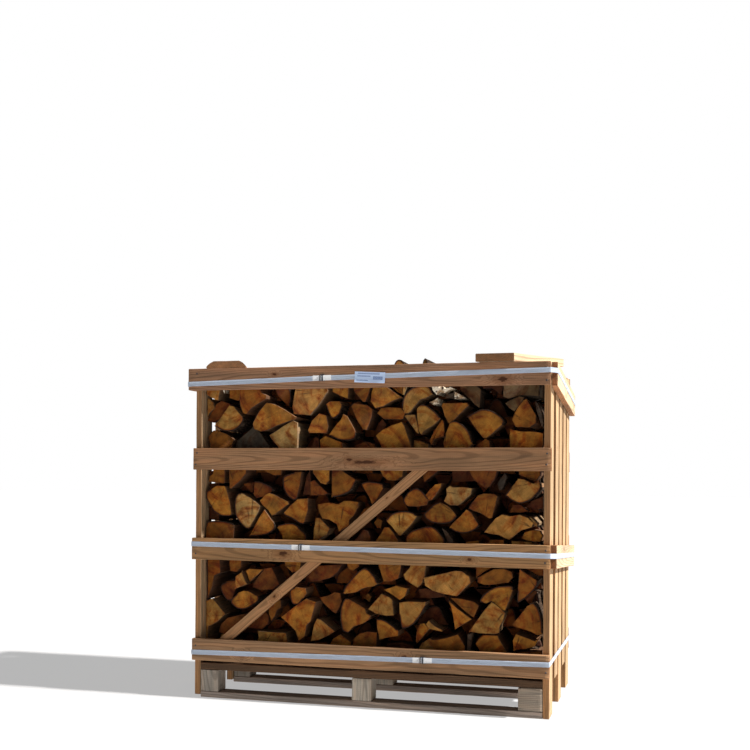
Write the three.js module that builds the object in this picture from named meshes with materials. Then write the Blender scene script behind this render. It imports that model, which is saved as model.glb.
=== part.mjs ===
// Split firewood in a slatted softwood crate on a low block pallet, closed with three woven straps.
// Millimetres. X runs along the front (right is +), Y from front to back, Z up.
// The crate is drawn with x = 0 midway between the side walls, y = 0 at the front edge of the side
// walls and z = 0 on the floor; the last lines move the origin under the middle of its box.

import * as THREE from 'three';

// ---- driving dimensions -------------------------------------------------------------------
const WALL_SPAN = 1200;       // outer face to outer face of the two side walls
const WALL_DEPTH = 620;       // front edge of the first side board to back edge of the last
const BOARD_THICK = 21;       // side boards
const RAIL_THICK = 20;        // rails and braces
const RAIL_HEIGHT = 74;
const SEAM = 0.3;             // air left between touching pieces
const ARRIS = 1.5;            // chamfer of a sawn edge

const RAIL_BOTTOMS = { d: 128, c: 469, b: 772.5, a: 1041.5 };
// how far each front rail runs past the left and the right wall
const RAIL_OVERHANGS = { d: [2.5, 1], c: [4.5, 2.5], b: [1, 4], a: [20.3, 0] };

// side boards from the front to the back: y start, width, reaches the floor
const SIDE_BOARDS = [
  [0, 88, true], [158, 84, false], [275, 86, true], [408, 84, false], [532, 88, true],
];
const SIDE_BOARD_TOPS = [1108, 1103, 1110, 1105, 1112];
const SHORT_BOARD_BOTTOM = 100;
const LEFT_WALL_LIFT = 9;     // the left wall stops this far above the floor

const SIDE_RAIL_DROP_TOP = 6.0;      // degrees that the right top side rail falls to the back
const SIDE_RAIL_DROP_MIDDLE = 3.4;   // the same for the right middle side rail
const LEFT_RAIL_SETBACK = 50;        // the left middle side rail starts this far behind the front

const SKID = { depth: 65, height: 21 };
const BLOCK_HEIGHT = 73;
const STRINGER_HEIGHT = 24;
const DECK_THICK = 17;
const DECK_WIDTH = 118;
const DECK_BOARDS = 7;
const DECK_INSET = 18;        // the deck boards stop this far short of the stringers' faces
const PALLET_HALF = WALL_SPAN / 2 - BOARD_THICK - SEAM;   // the pallet fits between the walls
const PALLET_ROWS = [
  { word: 'front', y: 0 }, { word: 'middle', y: 286 }, { word: 'back', y: WALL_DEPTH - SKID.depth },
];
// blocks of a row: name, left edge, width
const BLOCKS = [['left', -PALLET_HALF, 66], ['centre', -42, 66], ['right', PALLET_HALF - 77, 77]];

const BRACE_WIDTH = 29;
const BRACE_LOW = new THREE.Vector2(-536, 157);    // centre line of the diagonal brace, x and z
const BRACE_HIGH = new THREE.Vector2(214, 804);

const STACK_FRONT = 22;       // y of the front log ends
const STACK_SPLIT = 310;      // y where the two rows of logs meet
const STACK_GAP = 2;
const STACK_CLEARANCE = 4;    // logs to side walls

const STRAP_WIDTH = 16;
const STRAP_THICK = 1;
const BUCKLE = { width: 19, height: 25, wire: 3.4 };
const LABEL = { x: 20, z: 1074, width: 102, height: 35, thick: 0.5, tilt: 3 };

// ---- materials ------------------------------------------------------------------------------
const COLOURS = {
  rail: 0x9c7350, wall: 0xb08a5c, pallet: 0x857668, log: 0xb07a3c, strap: 0xb9c6dc,
  buckle: 0x55565c, label: 0xc3cdf0, offcut: 0x9a7448,
};
const paint = (key, roughness = 0.8, metalness = 0) =>
  new THREE.MeshStandardMaterial({ color: COLOURS[key], roughness, metalness });

const bundle = new THREE.Group();

function add(name, geometry, material) {
  const mesh = new THREE.Mesh(geometry, material);
  mesh.name = name;
  bundle.add(mesh);
  return mesh;
}

// A section drawn in a plane and extruded, centred on its own middle.
function prism(points, length) {
  const geometry = new THREE.ExtrudeGeometry(new THREE.Shape(points), {
    depth: length, bevelEnabled: false, steps: 1,
  });
  geometry.translate(0, 0, -length / 2);
  return geometry;
}

function chamferedRectangle(width, height, cut) {
  const w = width / 2;
  const h = height / 2;
  return [
    [w - cut, -h], [w, -h + cut], [w, h - cut], [w - cut, h],
    [-w + cut, h], [-w, h - cut], [-w, -h + cut], [-w + cut, -h],
  ].map(([x, y]) => new THREE.Vector2(x, y));
}

// Sawn timber filling the box from low to high; it is extruded along its longest side.
function timber(name, low, high, key) {
  const size = new THREE.Vector3().subVectors(high, low);
  const centre = new THREE.Vector3().addVectors(low, high).multiplyScalar(0.5);
  const longest = Math.max(size.x, size.y, size.z);
  let geometry;
  if (longest === size.x) {
    geometry = prism(chamferedRectangle(size.z, size.y, ARRIS), size.x).rotateY(Math.PI / 2);
  } else if (longest === size.y) {
    geometry = prism(chamferedRectangle(size.x, size.z, ARRIS), size.y).rotateX(Math.PI / 2);
  } else {
    geometry = prism(chamferedRectangle(size.x, size.y, ARRIS), size.z);
  }
  const mesh = add(name, geometry, paint(key));
  mesh.position.copy(centre);
  return mesh;
}

const v = (x, y, z) => new THREE.Vector3(x, y, z);
const HALF = WALL_SPAN / 2;

// ---- pallet -----------------------------------------------------------------------------------
const blockBottom = SKID.height + SEAM;
const stringerBottom = blockBottom + BLOCK_HEIGHT + SEAM;
const deckBottom = stringerBottom + STRINGER_HEIGHT + SEAM;
const deckTop = deckBottom + DECK_THICK;

for (const row of PALLET_ROWS) {
  const back = row.y + SKID.depth;
  timber(`skid_${row.word}`, v(-PALLET_HALF, row.y, 0), v(PALLET_HALF, back, SKID.height), 'pallet');
  for (const [word, left, width] of BLOCKS) {
    timber(`block_${row.word}_${word}`, v(left, row.y, blockBottom),
      v(left + width, back, blockBottom + BLOCK_HEIGHT), 'pallet');
  }
  timber(`stringer_${row.word}`, v(-PALLET_HALF, row.y, stringerBottom),
    v(PALLET_HALF, back, stringerBottom + STRINGER_HEIGHT), 'pallet');
}
const deckPitch = (2 * PALLET_HALF - DECK_WIDTH) / (DECK_BOARDS - 1);
for (let i = 0; i < DECK_BOARDS; i += 1) {
  const left = -PALLET_HALF + i * deckPitch;
  timber(`deck_board_${i + 1}`, v(left, DECK_INSET, deckBottom),
    v(left + DECK_WIDTH, WALL_DEPTH - DECK_INSET, deckTop), 'pallet');
}

// ---- side walls -------------------------------------------------------------------------------
SIDE_BOARDS.forEach(([start, width, long], i) => {
  const foot = long ? 0 : SHORT_BOARD_BOTTOM;
  timber(`side_board_right_${i + 1}`, v(HALF - BOARD_THICK, start, foot),
    v(HALF, start + width, SIDE_BOARD_TOPS[i]), 'wall');
  timber(`side_board_left_${i + 1}`, v(-HALF, start, long ? LEFT_WALL_LIFT : SHORT_BOARD_BOTTOM),
    v(-HALF + BOARD_THICK, start + width, SIDE_BOARD_TOPS[i]), 'wall');
});

// A side rail on the outside of a wall, dropping towards the back by the given angle.
function sideRail(name, side, front, bottom, dropDegrees) {
  const back = WALL_DEPTH - SEAM;
  const inner = side * (HALF + SEAM);
  const outer = inner + side * RAIL_THICK;
  const mesh = timber(name, v(Math.min(inner, outer), front, bottom),
    v(Math.max(inner, outer), back, bottom + RAIL_HEIGHT), 'wall');
  const drop = THREE.MathUtils.degToRad(dropDegrees);
  mesh.rotation.x = -drop;
  mesh.position.z -= Math.sin(drop) * (back - front) / 2;
}
sideRail('side_rail_right_top', 1, 4, RAIL_BOTTOMS.a, SIDE_RAIL_DROP_TOP);
sideRail('side_rail_right_middle', 1, 3, RAIL_BOTTOMS.c, SIDE_RAIL_DROP_MIDDLE);
sideRail('side_rail_left_top', -1, SEAM, RAIL_BOTTOMS.a, 0);
sideRail('side_rail_left_middle', -1, LEFT_RAIL_SETBACK, RAIL_BOTTOMS.c, 0);

// ---- front and back rails ---------------------------------------------------------------------
for (const [letter, bottom] of Object.entries(RAIL_BOTTOMS)) {
  const [left, right] = RAIL_OVERHANGS[letter];
  const top = bottom + RAIL_HEIGHT;
  timber(`rail_front_${letter}`, v(-HALF - left, -SEAM - RAIL_THICK, bottom),
    v(HALF + right, -SEAM, top), 'rail');
  timber(`rail_back_${letter}`, v(-HALF, WALL_DEPTH + SEAM, bottom),
    v(HALF, WALL_DEPTH + SEAM + RAIL_THICK, top), 'rail');
}

// ---- diagonal braces, behind the rails and in front of the log ends ---------------------------
const braceRun = new THREE.Vector2().subVectors(BRACE_HIGH, BRACE_LOW);
const braceMiddle = new THREE.Vector2().addVectors(BRACE_LOW, BRACE_HIGH).multiplyScalar(0.5);
function brace(name, y, mirror) {
  const section = chamferedRectangle(BRACE_WIDTH, RAIL_THICK - 2 * SEAM, ARRIS);
  const geometry = prism(section, braceRun.length()).rotateY(Math.PI / 2);
  const mesh = add(name, geometry, paint('rail'));
  mesh.rotation.y = -Math.atan2(braceRun.y, mirror * braceRun.x);
  mesh.position.set(mirror * braceMiddle.x, y, braceMiddle.y);
}
brace('brace_front', RAIL_THICK / 2, 1);
brace('brace_back', WALL_DEPTH - RAIL_THICK / 2, -1);

// ---- the split logs: two rows, each closed off by an outline that reaches the log ends --------
const stackHalf = HALF - BOARD_THICK - STACK_CLEARANCE;
const stackFoot = deckTop + SEAM;
const railTop = RAIL_BOTTOMS.a + RAIL_HEIGHT;
const STACK_TOPS = [   // x and z along the uneven top; level with the rails under the two offcuts
  [-stackHalf, railTop], [-420, railTop], [-360, 1098], [-250, 1086], [-120, 1092], [20, 1085],
  [68, 1098], [86, 1129], [118, 1127], [132, 1096], [164, 1098], [180, 1136], [202, 1132],
  [216, 1094], [300, 1090], [372, railTop], [stackHalf, railTop],
];
const stackOutline = [
  new THREE.Vector2(stackHalf, stackFoot),
  ...STACK_TOPS.slice().reverse().map(([x, z]) => new THREE.Vector2(x, z)),
  new THREE.Vector2(-stackHalf, stackFoot),
];
function stack(name, front, back) {
  const geometry = prism(stackOutline, back - front).rotateX(Math.PI / 2);
  const mesh = add(name, geometry, paint('log', 0.9));
  mesh.position.y = (front + back) / 2;
}
stack('log_stack_front', STACK_FRONT, STACK_SPLIT);
stack('log_stack_back', STACK_SPLIT + STACK_GAP, WALL_DEPTH - STACK_FRONT);

// ---- two offcuts lying on the top -------------------------------------------------------------
const offcutRest = railTop + SEAM;
// The left offcut is a short waney slab, askew the other way.
const SLAB = { middle: -483, front: -20, length: 122, skew: -0.35 };   // skew: to the right per depth
const slabEnd = [[-76, 0], [76, 0], [54, 24.5], [-51, 24.5]].map(([x, z]) => new THREE.Vector2(x, z));
const slabShape = prism(slabEnd, SLAB.length).rotateX(Math.PI / 2);
slabShape.translate(0, SLAB.length / 2, 0);
slabShape.applyMatrix4(new THREE.Matrix4().makeShear(0, 0, SLAB.skew, 0, 0, 0));
const slab = add('offcut_slab_left', slabShape, paint('offcut'));
slab.position.set(SLAB.middle, SLAB.front, offcutRest);

// The right offcut lies askew: its end is parallel to the front, its sides run back to the right.
const PLANK = { left: 364, right: 488, front: -24, length: 214, thick: 27, shear: 132 };
const plankPlan = [
  [PLANK.left, PLANK.front], [PLANK.right, PLANK.front],
  [PLANK.right + PLANK.shear, PLANK.front + PLANK.length],
  [PLANK.left + PLANK.shear, PLANK.front + PLANK.length],
].map(([x, y]) => new THREE.Vector2(x, y));
const plank = add('offcut_plank_right', prism(plankPlan, PLANK.thick), paint('offcut'));
plank.position.z = offcutRest + PLANK.thick / 2;

// ---- straps: flat bands round the whole crate --------------------------------------------------
const railFace = -SEAM - RAIL_THICK;              // y of the front rails' faces
const backFace = WALL_DEPTH - railFace;
const sideFace = HALF + SEAM + RAIL_THICK;        // x of the side rails' faces

// The outline of what a strap hugs, pushed outwards by a distance, corner by corner.
function pushOut(corners, distance) {
  return corners.map((corner, i) => {
    const before = corners[(i + corners.length - 1) % corners.length];
    const after = corners[(i + 1) % corners.length];
    const a = new THREE.Vector2().subVectors(corner, before).normalize();
    const b = new THREE.Vector2().subVectors(after, corner).normalize();
    const normalA = new THREE.Vector2(a.y, -a.x);
    const normalB = new THREE.Vector2(b.y, -b.x);
    const middle = normalA.clone().add(normalB).normalize();
    return corner.clone().addScaledVector(middle, distance / middle.dot(normalA));
  });
}

// corners: [x, y, z of the band's middle], anticlockwise from above.
function strap(name, corners) {
  const plan = corners.map(([x, y]) => new THREE.Vector2(x, y));
  const inner = pushOut(plan, SEAM);
  const outer = pushOut(plan, SEAM + STRAP_THICK);
  const positions = [];
  const rings = [[outer, -1], [outer, 1], [inner, 1], [inner, -1]];
  const point = (ring, i) => {
    const [line, side] = rings[ring % rings.length];
    const k = i % corners.length;
    return [line[k].x, line[k].y, corners[k][2] + side * STRAP_WIDTH / 2];
  };
  for (let i = 0; i < corners.length; i += 1) {
    for (let ring = 0; ring < rings.length; ring += 1) {
      const a = point(ring, i);
      const b = point(ring, i + 1);
      const c = point(ring + 1, i + 1);
      const d = point(ring + 1, i);
      positions.push(...a, ...b, ...c, ...a, ...c, ...d);
    }
  }
  const geometry = new THREE.BufferGeometry();
  geometry.setAttribute('position', new THREE.Float32BufferAttribute(positions, 3));
  geometry.computeVertexNormals();
  add(name, geometry, paint('strap', 0.55));
}
const leftA = -HALF - RAIL_OVERHANGS.a[0];
const leftC = -HALF - RAIL_OVERHANGS.c[0];
const leftD = -HALF - RAIL_OVERHANGS.d[0];
const rightC = HALF + RAIL_OVERHANGS.c[1];
const rightD = HALF + RAIL_OVERHANGS.d[1];
const TOP_BUCKLE_X = -142;    // the top strap is drawn up a little by its buckle
strap('strap_top', [
  [leftA, railFace, 1062.5], [TOP_BUCKLE_X, railFace, 1074.8], [HALF, railFace, 1087.5],
  [sideFace, SEAM, 1086],
  [sideFace, WALL_DEPTH, 1024], [HALF, backFace, 1050], [leftA, backFace, 1060],
]);
strap('strap_middle', [
  [leftC, railFace, 522], [rightC, railFace, 510], [sideFace, SEAM, 509],
  [sideFace, WALL_DEPTH, 472], [HALF, backFace, 490], [-HALF, backFace, 505],
  [-sideFace, WALL_DEPTH, 505], [-sideFace, LEFT_RAIL_SETBACK, 518],
]);
strap('strap_bottom', [
  [leftD, railFace, 155.5], [rightD, railFace, 173.5], [rightD, backFace, 168],
  [leftD, backFace, 156],
]);

// ---- wire buckles: three bent legs on one back, standing on the front of their strap -----------
const strapFace = railFace - SEAM - STRAP_THICK;
function buckle(name, x, z) {
  const { width, height, wire } = BUCKLE;
  const slot = (width - 3 * wire) / 2;
  // one run of the wire's edge: round the outside, then in and out of the two slots from below
  const foot = -height / 2;
  const outline = [
    [-width / 2, foot], [-width / 2, -foot], [width / 2, -foot], [width / 2, foot],
    [wire / 2 + slot, foot], [wire / 2 + slot, -foot - wire], [wire / 2, -foot - wire],
    [wire / 2, foot], [-wire / 2, foot], [-wire / 2, -foot - wire],
    [-wire / 2 - slot, -foot - wire], [-wire / 2 - slot, foot],
  ].map(([a, b]) => new THREE.Vector2(a, b));
  const geometry = prism(outline, wire).rotateX(Math.PI / 2);
  const mesh = add(name, geometry, paint('buckle', 0.4, 0.9));
  mesh.position.set(x, strapFace - SEAM - wire / 2, z);
}
buckle('buckle_top', TOP_BUCKLE_X, 1074.8);
buckle('buckle_middle', -212, 518.1);
buckle('buckle_bottom', 200, 167.5);

// ---- the label: a small sheet over the top strap ----------------------------------------------
const label = add('label', new THREE.BoxGeometry(LABEL.width, LABEL.thick, LABEL.height),
  paint('label', 0.6));
label.position.set(LABEL.x, strapFace - SEAM - LABEL.thick / 2, LABEL.z);
label.rotation.y = THREE.MathUtils.degToRad(LABEL.tilt);

// ---- origin: under the middle of the whole box, on the floor ----------------------------------
bundle.updateMatrixWorld(true);
const box = new THREE.Box3().setFromObject(bundle, true);
const middle = box.getCenter(new THREE.Vector3());
bundle.position.set(-middle.x, -middle.y, -box.min.z);
bundle.updateMatrixWorld(true);

export default bundle;
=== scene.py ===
"""A slatted crate of split firewood on a low block pallet, closed with three woven straps."""

import math
import random

import bpy
import numpy as np
from mathutils import Matrix, Vector, noise


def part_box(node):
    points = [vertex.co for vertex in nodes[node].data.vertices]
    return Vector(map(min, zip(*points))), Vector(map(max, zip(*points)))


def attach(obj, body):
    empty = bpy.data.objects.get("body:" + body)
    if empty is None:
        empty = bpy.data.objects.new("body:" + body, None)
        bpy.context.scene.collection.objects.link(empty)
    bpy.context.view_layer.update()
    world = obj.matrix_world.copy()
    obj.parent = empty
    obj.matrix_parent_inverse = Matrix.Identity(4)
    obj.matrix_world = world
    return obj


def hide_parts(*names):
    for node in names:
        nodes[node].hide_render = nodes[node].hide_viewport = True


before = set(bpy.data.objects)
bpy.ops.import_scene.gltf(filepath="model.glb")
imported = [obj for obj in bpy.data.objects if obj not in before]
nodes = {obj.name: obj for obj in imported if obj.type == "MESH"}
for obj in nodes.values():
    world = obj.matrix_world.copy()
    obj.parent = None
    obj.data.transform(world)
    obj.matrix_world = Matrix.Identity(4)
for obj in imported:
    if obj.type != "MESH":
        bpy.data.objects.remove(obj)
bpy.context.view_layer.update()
rng = random.Random(20)

# ---- places and sizes, in metres, shared with the CAD ------------------------------------------
DEPTH_SHIFT = 0.30815        # the front edges of the side walls stand this far in front of y = 0
WALL_DEPTH = 0.620           # the side walls, from their front edges to their back edges
RAIL_Y, BACK_Y = -0.0203, WALL_DEPTH + 0.0203    # outer faces of the front and the back rails
SIDE_FACE = 0.6203           # outer faces of the side rails
WALL_INSIDE = 0.5765         # inner faces of the side walls
DECK_TOP = 0.1368            # top of the pallet's deck
LOG_BACK = 0.305             # the front row of logs ends here, behind the front edges of the walls

# ---- camera: eye height, level, with a little roll and an upward shift --------------------------
camera_data = bpy.data.cameras.new("camera")
camera = bpy.data.objects.new("camera", camera_data)
bpy.context.scene.collection.objects.link(camera)
camera_data.lens, camera_data.sensor_width = 51.94, 36.0
camera_data.shift_y = 0.1353
CAMERA_PLACE = Vector((0.9676, -3.69935, 0.7536))
CAMERA_YAW, CAMERA_ROLL = math.radians(15.409), math.radians(0.339)
camera.matrix_world = (
    Matrix.Translation(CAMERA_PLACE) @ Matrix.Rotation(CAMERA_YAW, 4, "Z")
    @ Matrix.Rotation(math.pi / 2, 4, "X") @ Matrix.Rotation(CAMERA_ROLL, 4, "Z")
)
bpy.context.scene.camera = camera


# ---- material nodes -----------------------------------------------------------------------------
class Shader:
    """One material, with short calls for the nodes that it is made of."""

    def __init__(self, name, roughness=0.8, metallic=0.0, specular=0.3):
        self.material = bpy.data.materials.new(name)
        self.material.use_nodes = True
        self.tree = self.material.node_tree
        self.surface = self.tree.nodes["Principled BSDF"]
        self.surface.inputs["Roughness"].default_value = roughness
        self.surface.inputs["Metallic"].default_value = metallic
        self.surface.inputs["Specular IOR Level"].default_value = specular

    def node(self, kind, inputs, output=0, **settings):
        made = self.tree.nodes.new(kind)
        for key, value in settings.items():
            setattr(made, key, value)
        for key, value in inputs.items():
            if isinstance(value, bpy.types.NodeSocket):
                self.tree.links.new(value, made.inputs[key])
            else:
                made.inputs[key].default_value = value
        return made.outputs[output]

    def attribute(self, name, output="Vector"):
        return self.node("ShaderNodeAttribute", {}, output, attribute_name=name)

    def math(self, operation, a, b=0.0):
        return self.node("ShaderNodeMath", {0: a, 1: b}, operation=operation)

    def vector(self, operation, a, b=(0.0, 0.0, 0.0)):
        return self.node("ShaderNodeVectorMath", {0: a, 1: b}, operation=operation)

    def noise(self, where, scale=1.0, detail=3.0, roughness=0.5, stretch=None):
        if stretch:
            where = self.vector("MULTIPLY", where, stretch)
        return self.node("ShaderNodeTexNoise", {
            "Vector": where, "Scale": scale, "Detail": detail, "Roughness": roughness})

    def span(self, value, low, high, to_low=0.0, to_high=1.0):
        """value from low to high, made to run smoothly from to_low to to_high."""
        return self.node("ShaderNodeMapRange", {
            "Value": value, "From Min": low, "From Max": high,
            "To Min": to_low, "To Max": to_high}, interpolation_type="SMOOTHSTEP")

    def mix(self, share, a, b, blend="MIX"):
        return self.node("ShaderNodeMix", {0: share, 6: a, 7: b}, 2,
                         data_type="RGBA", blend_type=blend, clamp_factor=True)

    def grey(self, value):
        return self.node("ShaderNodeCombineColor", {0: value, 1: value, 2: value})

    def parts(self, vector):
        made = self.tree.nodes.new("ShaderNodeSeparateXYZ")
        self.tree.links.new(vector, made.inputs[0])
        return made.outputs

    def finish(self, colour, height, distance, roughness=None):
        self.tree.links.new(colour, self.surface.inputs["Base Color"])
        if roughness is not None:
            self.tree.links.new(roughness, self.surface.inputs["Roughness"])
        bump = self.node("ShaderNodeBump", {"Height": height, "Distance": distance, "Strength": 1.0})
        self.tree.links.new(bump, self.surface.inputs["Normal"])
        return self.material


def radius_of(shader, grain, warp):
    """Distance from the pith, bent a little by the way the tree grew."""
    x, _, z = shader.parts(grain)
    sway = shader.noise(grain, 1.0, 2.0, 0.5, (9.0, 3.6, 9.0))
    length = shader.math("SQRT", shader.math("ADD", shader.math("MULTIPLY", x, x),
                                             shader.math("MULTIPLY", z, z)))
    return shader.math("ADD", length, shader.math("MULTIPLY", sway, warp * 2))


def sawn_wood(name, end=False):
    """Rough-sawn softwood: growth rings, fibres, saw marks, knots and a weathered skin, over a tone that is
    painted paler, as sunlight, on the wide faces of wall boards.
    """
    s = Shader(name, roughness=0.82, specular=0.2)
    grain, tone = s.attribute("grain"), s.attribute("tone", "Color")
    radius = radius_of(s, grain, 0.006)
    knots = []
    for key in ("knot_a", "knot_b"):
        along, across, size = s.parts(s.attribute(key))
        along = s.math("DIVIDE", along, s.math("MULTIPLY", size, 1.9))
        across = s.math("DIVIDE", across, size)
        away = s.math("SQRT", s.math("ADD", s.math("MULTIPLY", along, along),
                                     s.math("MULTIPLY", across, across)))
        ragged = s.noise(grain, 1.0, 3.0, 0.65, (150.0, 48.0, 150.0))
        away = s.math("ADD", away, s.math("MULTIPLY", s.math("SUBTRACT", ragged, 0.5), 2.0))
        knots.append(away)
    nearest = s.math("MINIMUM", *knots)
    swirl = s.span(nearest, 0.6, 4.0, 0.016, 0.0)
    rings = s.math("SINE", s.math("MULTIPLY", s.math("ADD", radius, swirl), 1250.0))
    late = s.span(rings, 0.1, 1.0)
    fibre = s.noise(grain, 1.0, 4.0, 0.65, (420.0, 9.0, 420.0))
    streak = s.noise(grain, 1.0, 3.0, 0.6, (70.0, 2.2, 70.0))
    patch = s.noise(grain, 1.0, 3.0, 0.55, (9.0, 2.6, 9.0))
    shade = s.math("MULTIPLY", s.span(fibre, 0.2, 0.8, 0.80, 1.16), s.span(streak, 0.25, 0.75, 0.78, 1.16))
    shade = s.math("MULTIPLY", shade, s.span(late, 0.0, 1.0, 1.07, 0.7 if end else 0.74))
    shade = s.math("MULTIPLY", shade, s.span(patch, 0.3, 0.75, 1.1, 0.78))
    colour = s.mix(1.0, tone, s.grey(shade), "MULTIPLY")
    if end:
        colour = s.mix(1.0, colour, (0.62, 0.50, 0.42, 1), "MULTIPLY")
    red = s.span(streak, 0.35, 0.7, 0.0, 0.35)
    colour = s.mix(red, colour, s.mix(1.0, colour, (1.15, 0.86, 0.66, 1), "MULTIPLY"))
    if not end:
        flame = s.span(nearest, 0.9, 2.6, 0.62, 0.0)
        colour = s.mix(flame, colour, s.mix(1.0, tone, (0.62, 0.47, 0.38, 1), "MULTIPLY"))
        heart = s.span(nearest, 0.55, 1.0, 1.0, 0.0)
        colour = s.mix(heart, colour, s.mix(1.0, tone, (0.20, 0.13, 0.095, 1), "MULTIPLY"))
    along = s.parts(grain)[1]
    saw = s.math("SINE", s.math("ADD", s.math("MULTIPLY", along, 950.0), s.math("MULTIPLY", streak, 9.0)))
    height = s.math("ADD", fibre, s.math("MULTIPLY", late, 0.35))
    if not end:
        height = s.math("ADD", height, s.math("MULTIPLY", saw, 0.10))
    return s.finish(colour, height, 0.0011, s.span(fibre, 0.2, 0.8, 0.74, 0.92))


def log_end(name):
    """A saw-cut end: rings round the pith, drying checks, saw marks, a darker heart and painted shade
    towards its outline.
    """
    s = Shader(name, roughness=0.78, specular=0.22)
    grain, tone = s.attribute("grain"), s.attribute("tone", "Color")
    x, along, z = s.parts(grain)
    radius = radius_of(s, grain, 0.005)
    rings = s.span(s.math("SINE", s.math("MULTIPLY", radius, 1500.0)), 0.0, 1.0)
    cloud = s.noise(grain, 1.0, 4.0, 0.6, (26.0, 2.0, 26.0))
    fine = s.noise(grain, 1.0, 4.0, 0.7, (260.0, 2.0, 260.0))
    turn = s.math("ARCTAN2", z, x)
    rays = s.noise(s.node("ShaderNodeCombineXYZ", {
        0: s.math("MULTIPLY", turn, 9.0), 1: s.math("MULTIPLY", radius, 9.0), 2: along}), 1.0, 4.0, 0.6)
    checks = s.span(rays, 0.30, 0.37, 1.0, 0.0)
    blade = s.math("SINE", s.math("MULTIPLY", s.math("ADD", s.math("MULTIPLY", x, 0.8), z), 2600.0))
    shade = s.math("MULTIPLY", s.span(rings, 0.0, 1.0, 1.05, 0.88), s.span(fine, 0.2, 0.8, 0.86, 1.12))
    shade = s.math("MULTIPLY", shade, s.span(cloud, 0.30, 0.70, 0.56, 1.20))
    shade = s.math("MULTIPLY", shade, s.span(rays, 0.35, 0.65, 0.90, 1.08))
    colour = s.mix(1.0, tone, s.grey(shade), "MULTIPLY")
    outwards = s.vector("NORMALIZE", s.vector("MULTIPLY", grain, (1.0, 0.0, 1.0)))
    distance = s.math("ADD", s.math("MULTIPLY", radius, 42.0), s.math("MULTIPLY", along, 3.0))
    bands = s.noise(s.vector("ADD", outwards, s.node("ShaderNodeCombineXYZ", {1: distance})), 1.0, 4.0, 0.62)
    colour = s.mix(s.span(bands, 0.44, 0.60, 0.0, 0.85), colour,
                   s.mix(1.0, colour, (0.80, 0.50, 0.30, 1), "MULTIPLY"))
    colour = s.mix(s.span(bands, 0.57, 0.68, 0.0, 0.85), colour,
                   s.mix(1.0, colour, (0.50, 0.28, 0.15, 1), "MULTIPLY"))
    # painted shade: the end is darkened and reddened towards its outline, where the edge attribute runs from
    # 1 at the outline to 0 inside
    edge = s.attribute("edge", "Fac")
    ragged = s.math("ADD", edge, s.math("MULTIPLY", s.math("SUBTRACT", fine, 0.5), 0.7))
    colour = s.mix(s.span(ragged, 0.55, 1.35, 0.0, 0.5), colour,
                   s.mix(1.0, colour, (0.46, 0.30, 0.20, 1), "MULTIPLY"))
    colour = s.mix(s.math("MULTIPLY", checks, 0.75), colour, (0.030, 0.014, 0.006, 1))
    rim = s.attribute("rim", "Fac")
    colour = s.mix(s.span(rim, 0.02, 0.26, 0.0, 0.75), colour,
                   s.mix(1.0, colour, (0.50, 0.24, 0.10, 1), "MULTIPLY"))
    colour = s.mix(s.span(rim, 0.30, 0.50, 0.0, 0.95), colour, (0.026, 0.014, 0.009, 1))
    height = s.math("ADD", s.math("MULTIPLY", fine, 0.8), s.math("MULTIPLY", blade, 0.16))
    height = s.math("SUBTRACT", height, s.math("MULTIPLY", checks, 0.8))
    return s.finish(colour, height, 0.0011)


def log_split(name):
    """A riven face: long torn fibres that run with the log, painted dark overall as shade in the gaps
    between the logs.
    """
    s = Shader(name, roughness=0.85, specular=0.2)
    grain = s.attribute("grain")
    tone = s.node("ShaderNodeHueSaturation", {"Color": s.attribute("tone", "Color"), "Saturation": 0.76})
    fibre = s.noise(grain, 1.0, 5.0, 0.7, (330.0, 14.0, 330.0))
    band = s.noise(grain, 1.0, 3.0, 0.6, (48.0, 2.4, 48.0))
    # painted shade: the fibres span only 0.36 to 0.72 of the tone, so the split faces stay dark like the
    # shaded gaps between logs
    shade = s.math("MULTIPLY", s.span(fibre, 0.2, 0.8, 0.36, 0.72), s.span(band, 0.25, 0.75, 0.70, 1.15))
    colour = s.mix(1.0, tone, s.grey(shade), "MULTIPLY")
    colour = s.mix(s.span(band, 0.4, 0.7, 0.0, 0.6), colour,
                   s.mix(1.0, colour, (0.9, 0.62, 0.42, 1), "MULTIPLY"))
    return s.finish(colour, s.math("ADD", fibre, s.math("MULTIPLY", band, 0.8)), 0.003)


def bark(name, plate, groove, pale):
    """Bark in rough plates with deep grooves; pale is the colour of its scuffs and lichen."""
    s = Shader(name, roughness=0.93, specular=0.15)
    grain = s.attribute("grain")
    stir = s.node("ShaderNodeTexNoise", {"Vector": grain, "Scale": 60.0, "Detail": 3.0}, "Color")
    bent = s.vector("ADD", grain, s.vector("MULTIPLY", stir, (0.012, 0.012, 0.012)))
    cells = s.node("ShaderNodeTexVoronoi", {
        "Vector": s.vector("MULTIPLY", bent, (85.0, 26.0, 85.0)), "Scale": 1.0},
        feature="DISTANCE_TO_EDGE")
    grooves = s.span(cells, 0.0, 0.22, 1.0, 0.0)
    rough = s.noise(grain, 240.0, 5.0, 0.7)
    patch = s.noise(grain, 22.0, 4.0, 0.6)
    colour = s.mix(s.span(rough, 0.3, 0.75), plate, s.mix(1.0, plate, (0.55, 0.5, 0.45, 1), "MULTIPLY"))
    colour = s.mix(s.span(patch, 0.50, 0.75, 0.0, 0.6), colour, pale)
    colour = s.mix(s.math("MULTIPLY", grooves, 0.85), colour, groove)
    height = s.math("SUBTRACT", s.math("MULTIPLY", rough, 0.5), grooves)
    return s.finish(colour, height, 0.004)


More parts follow.
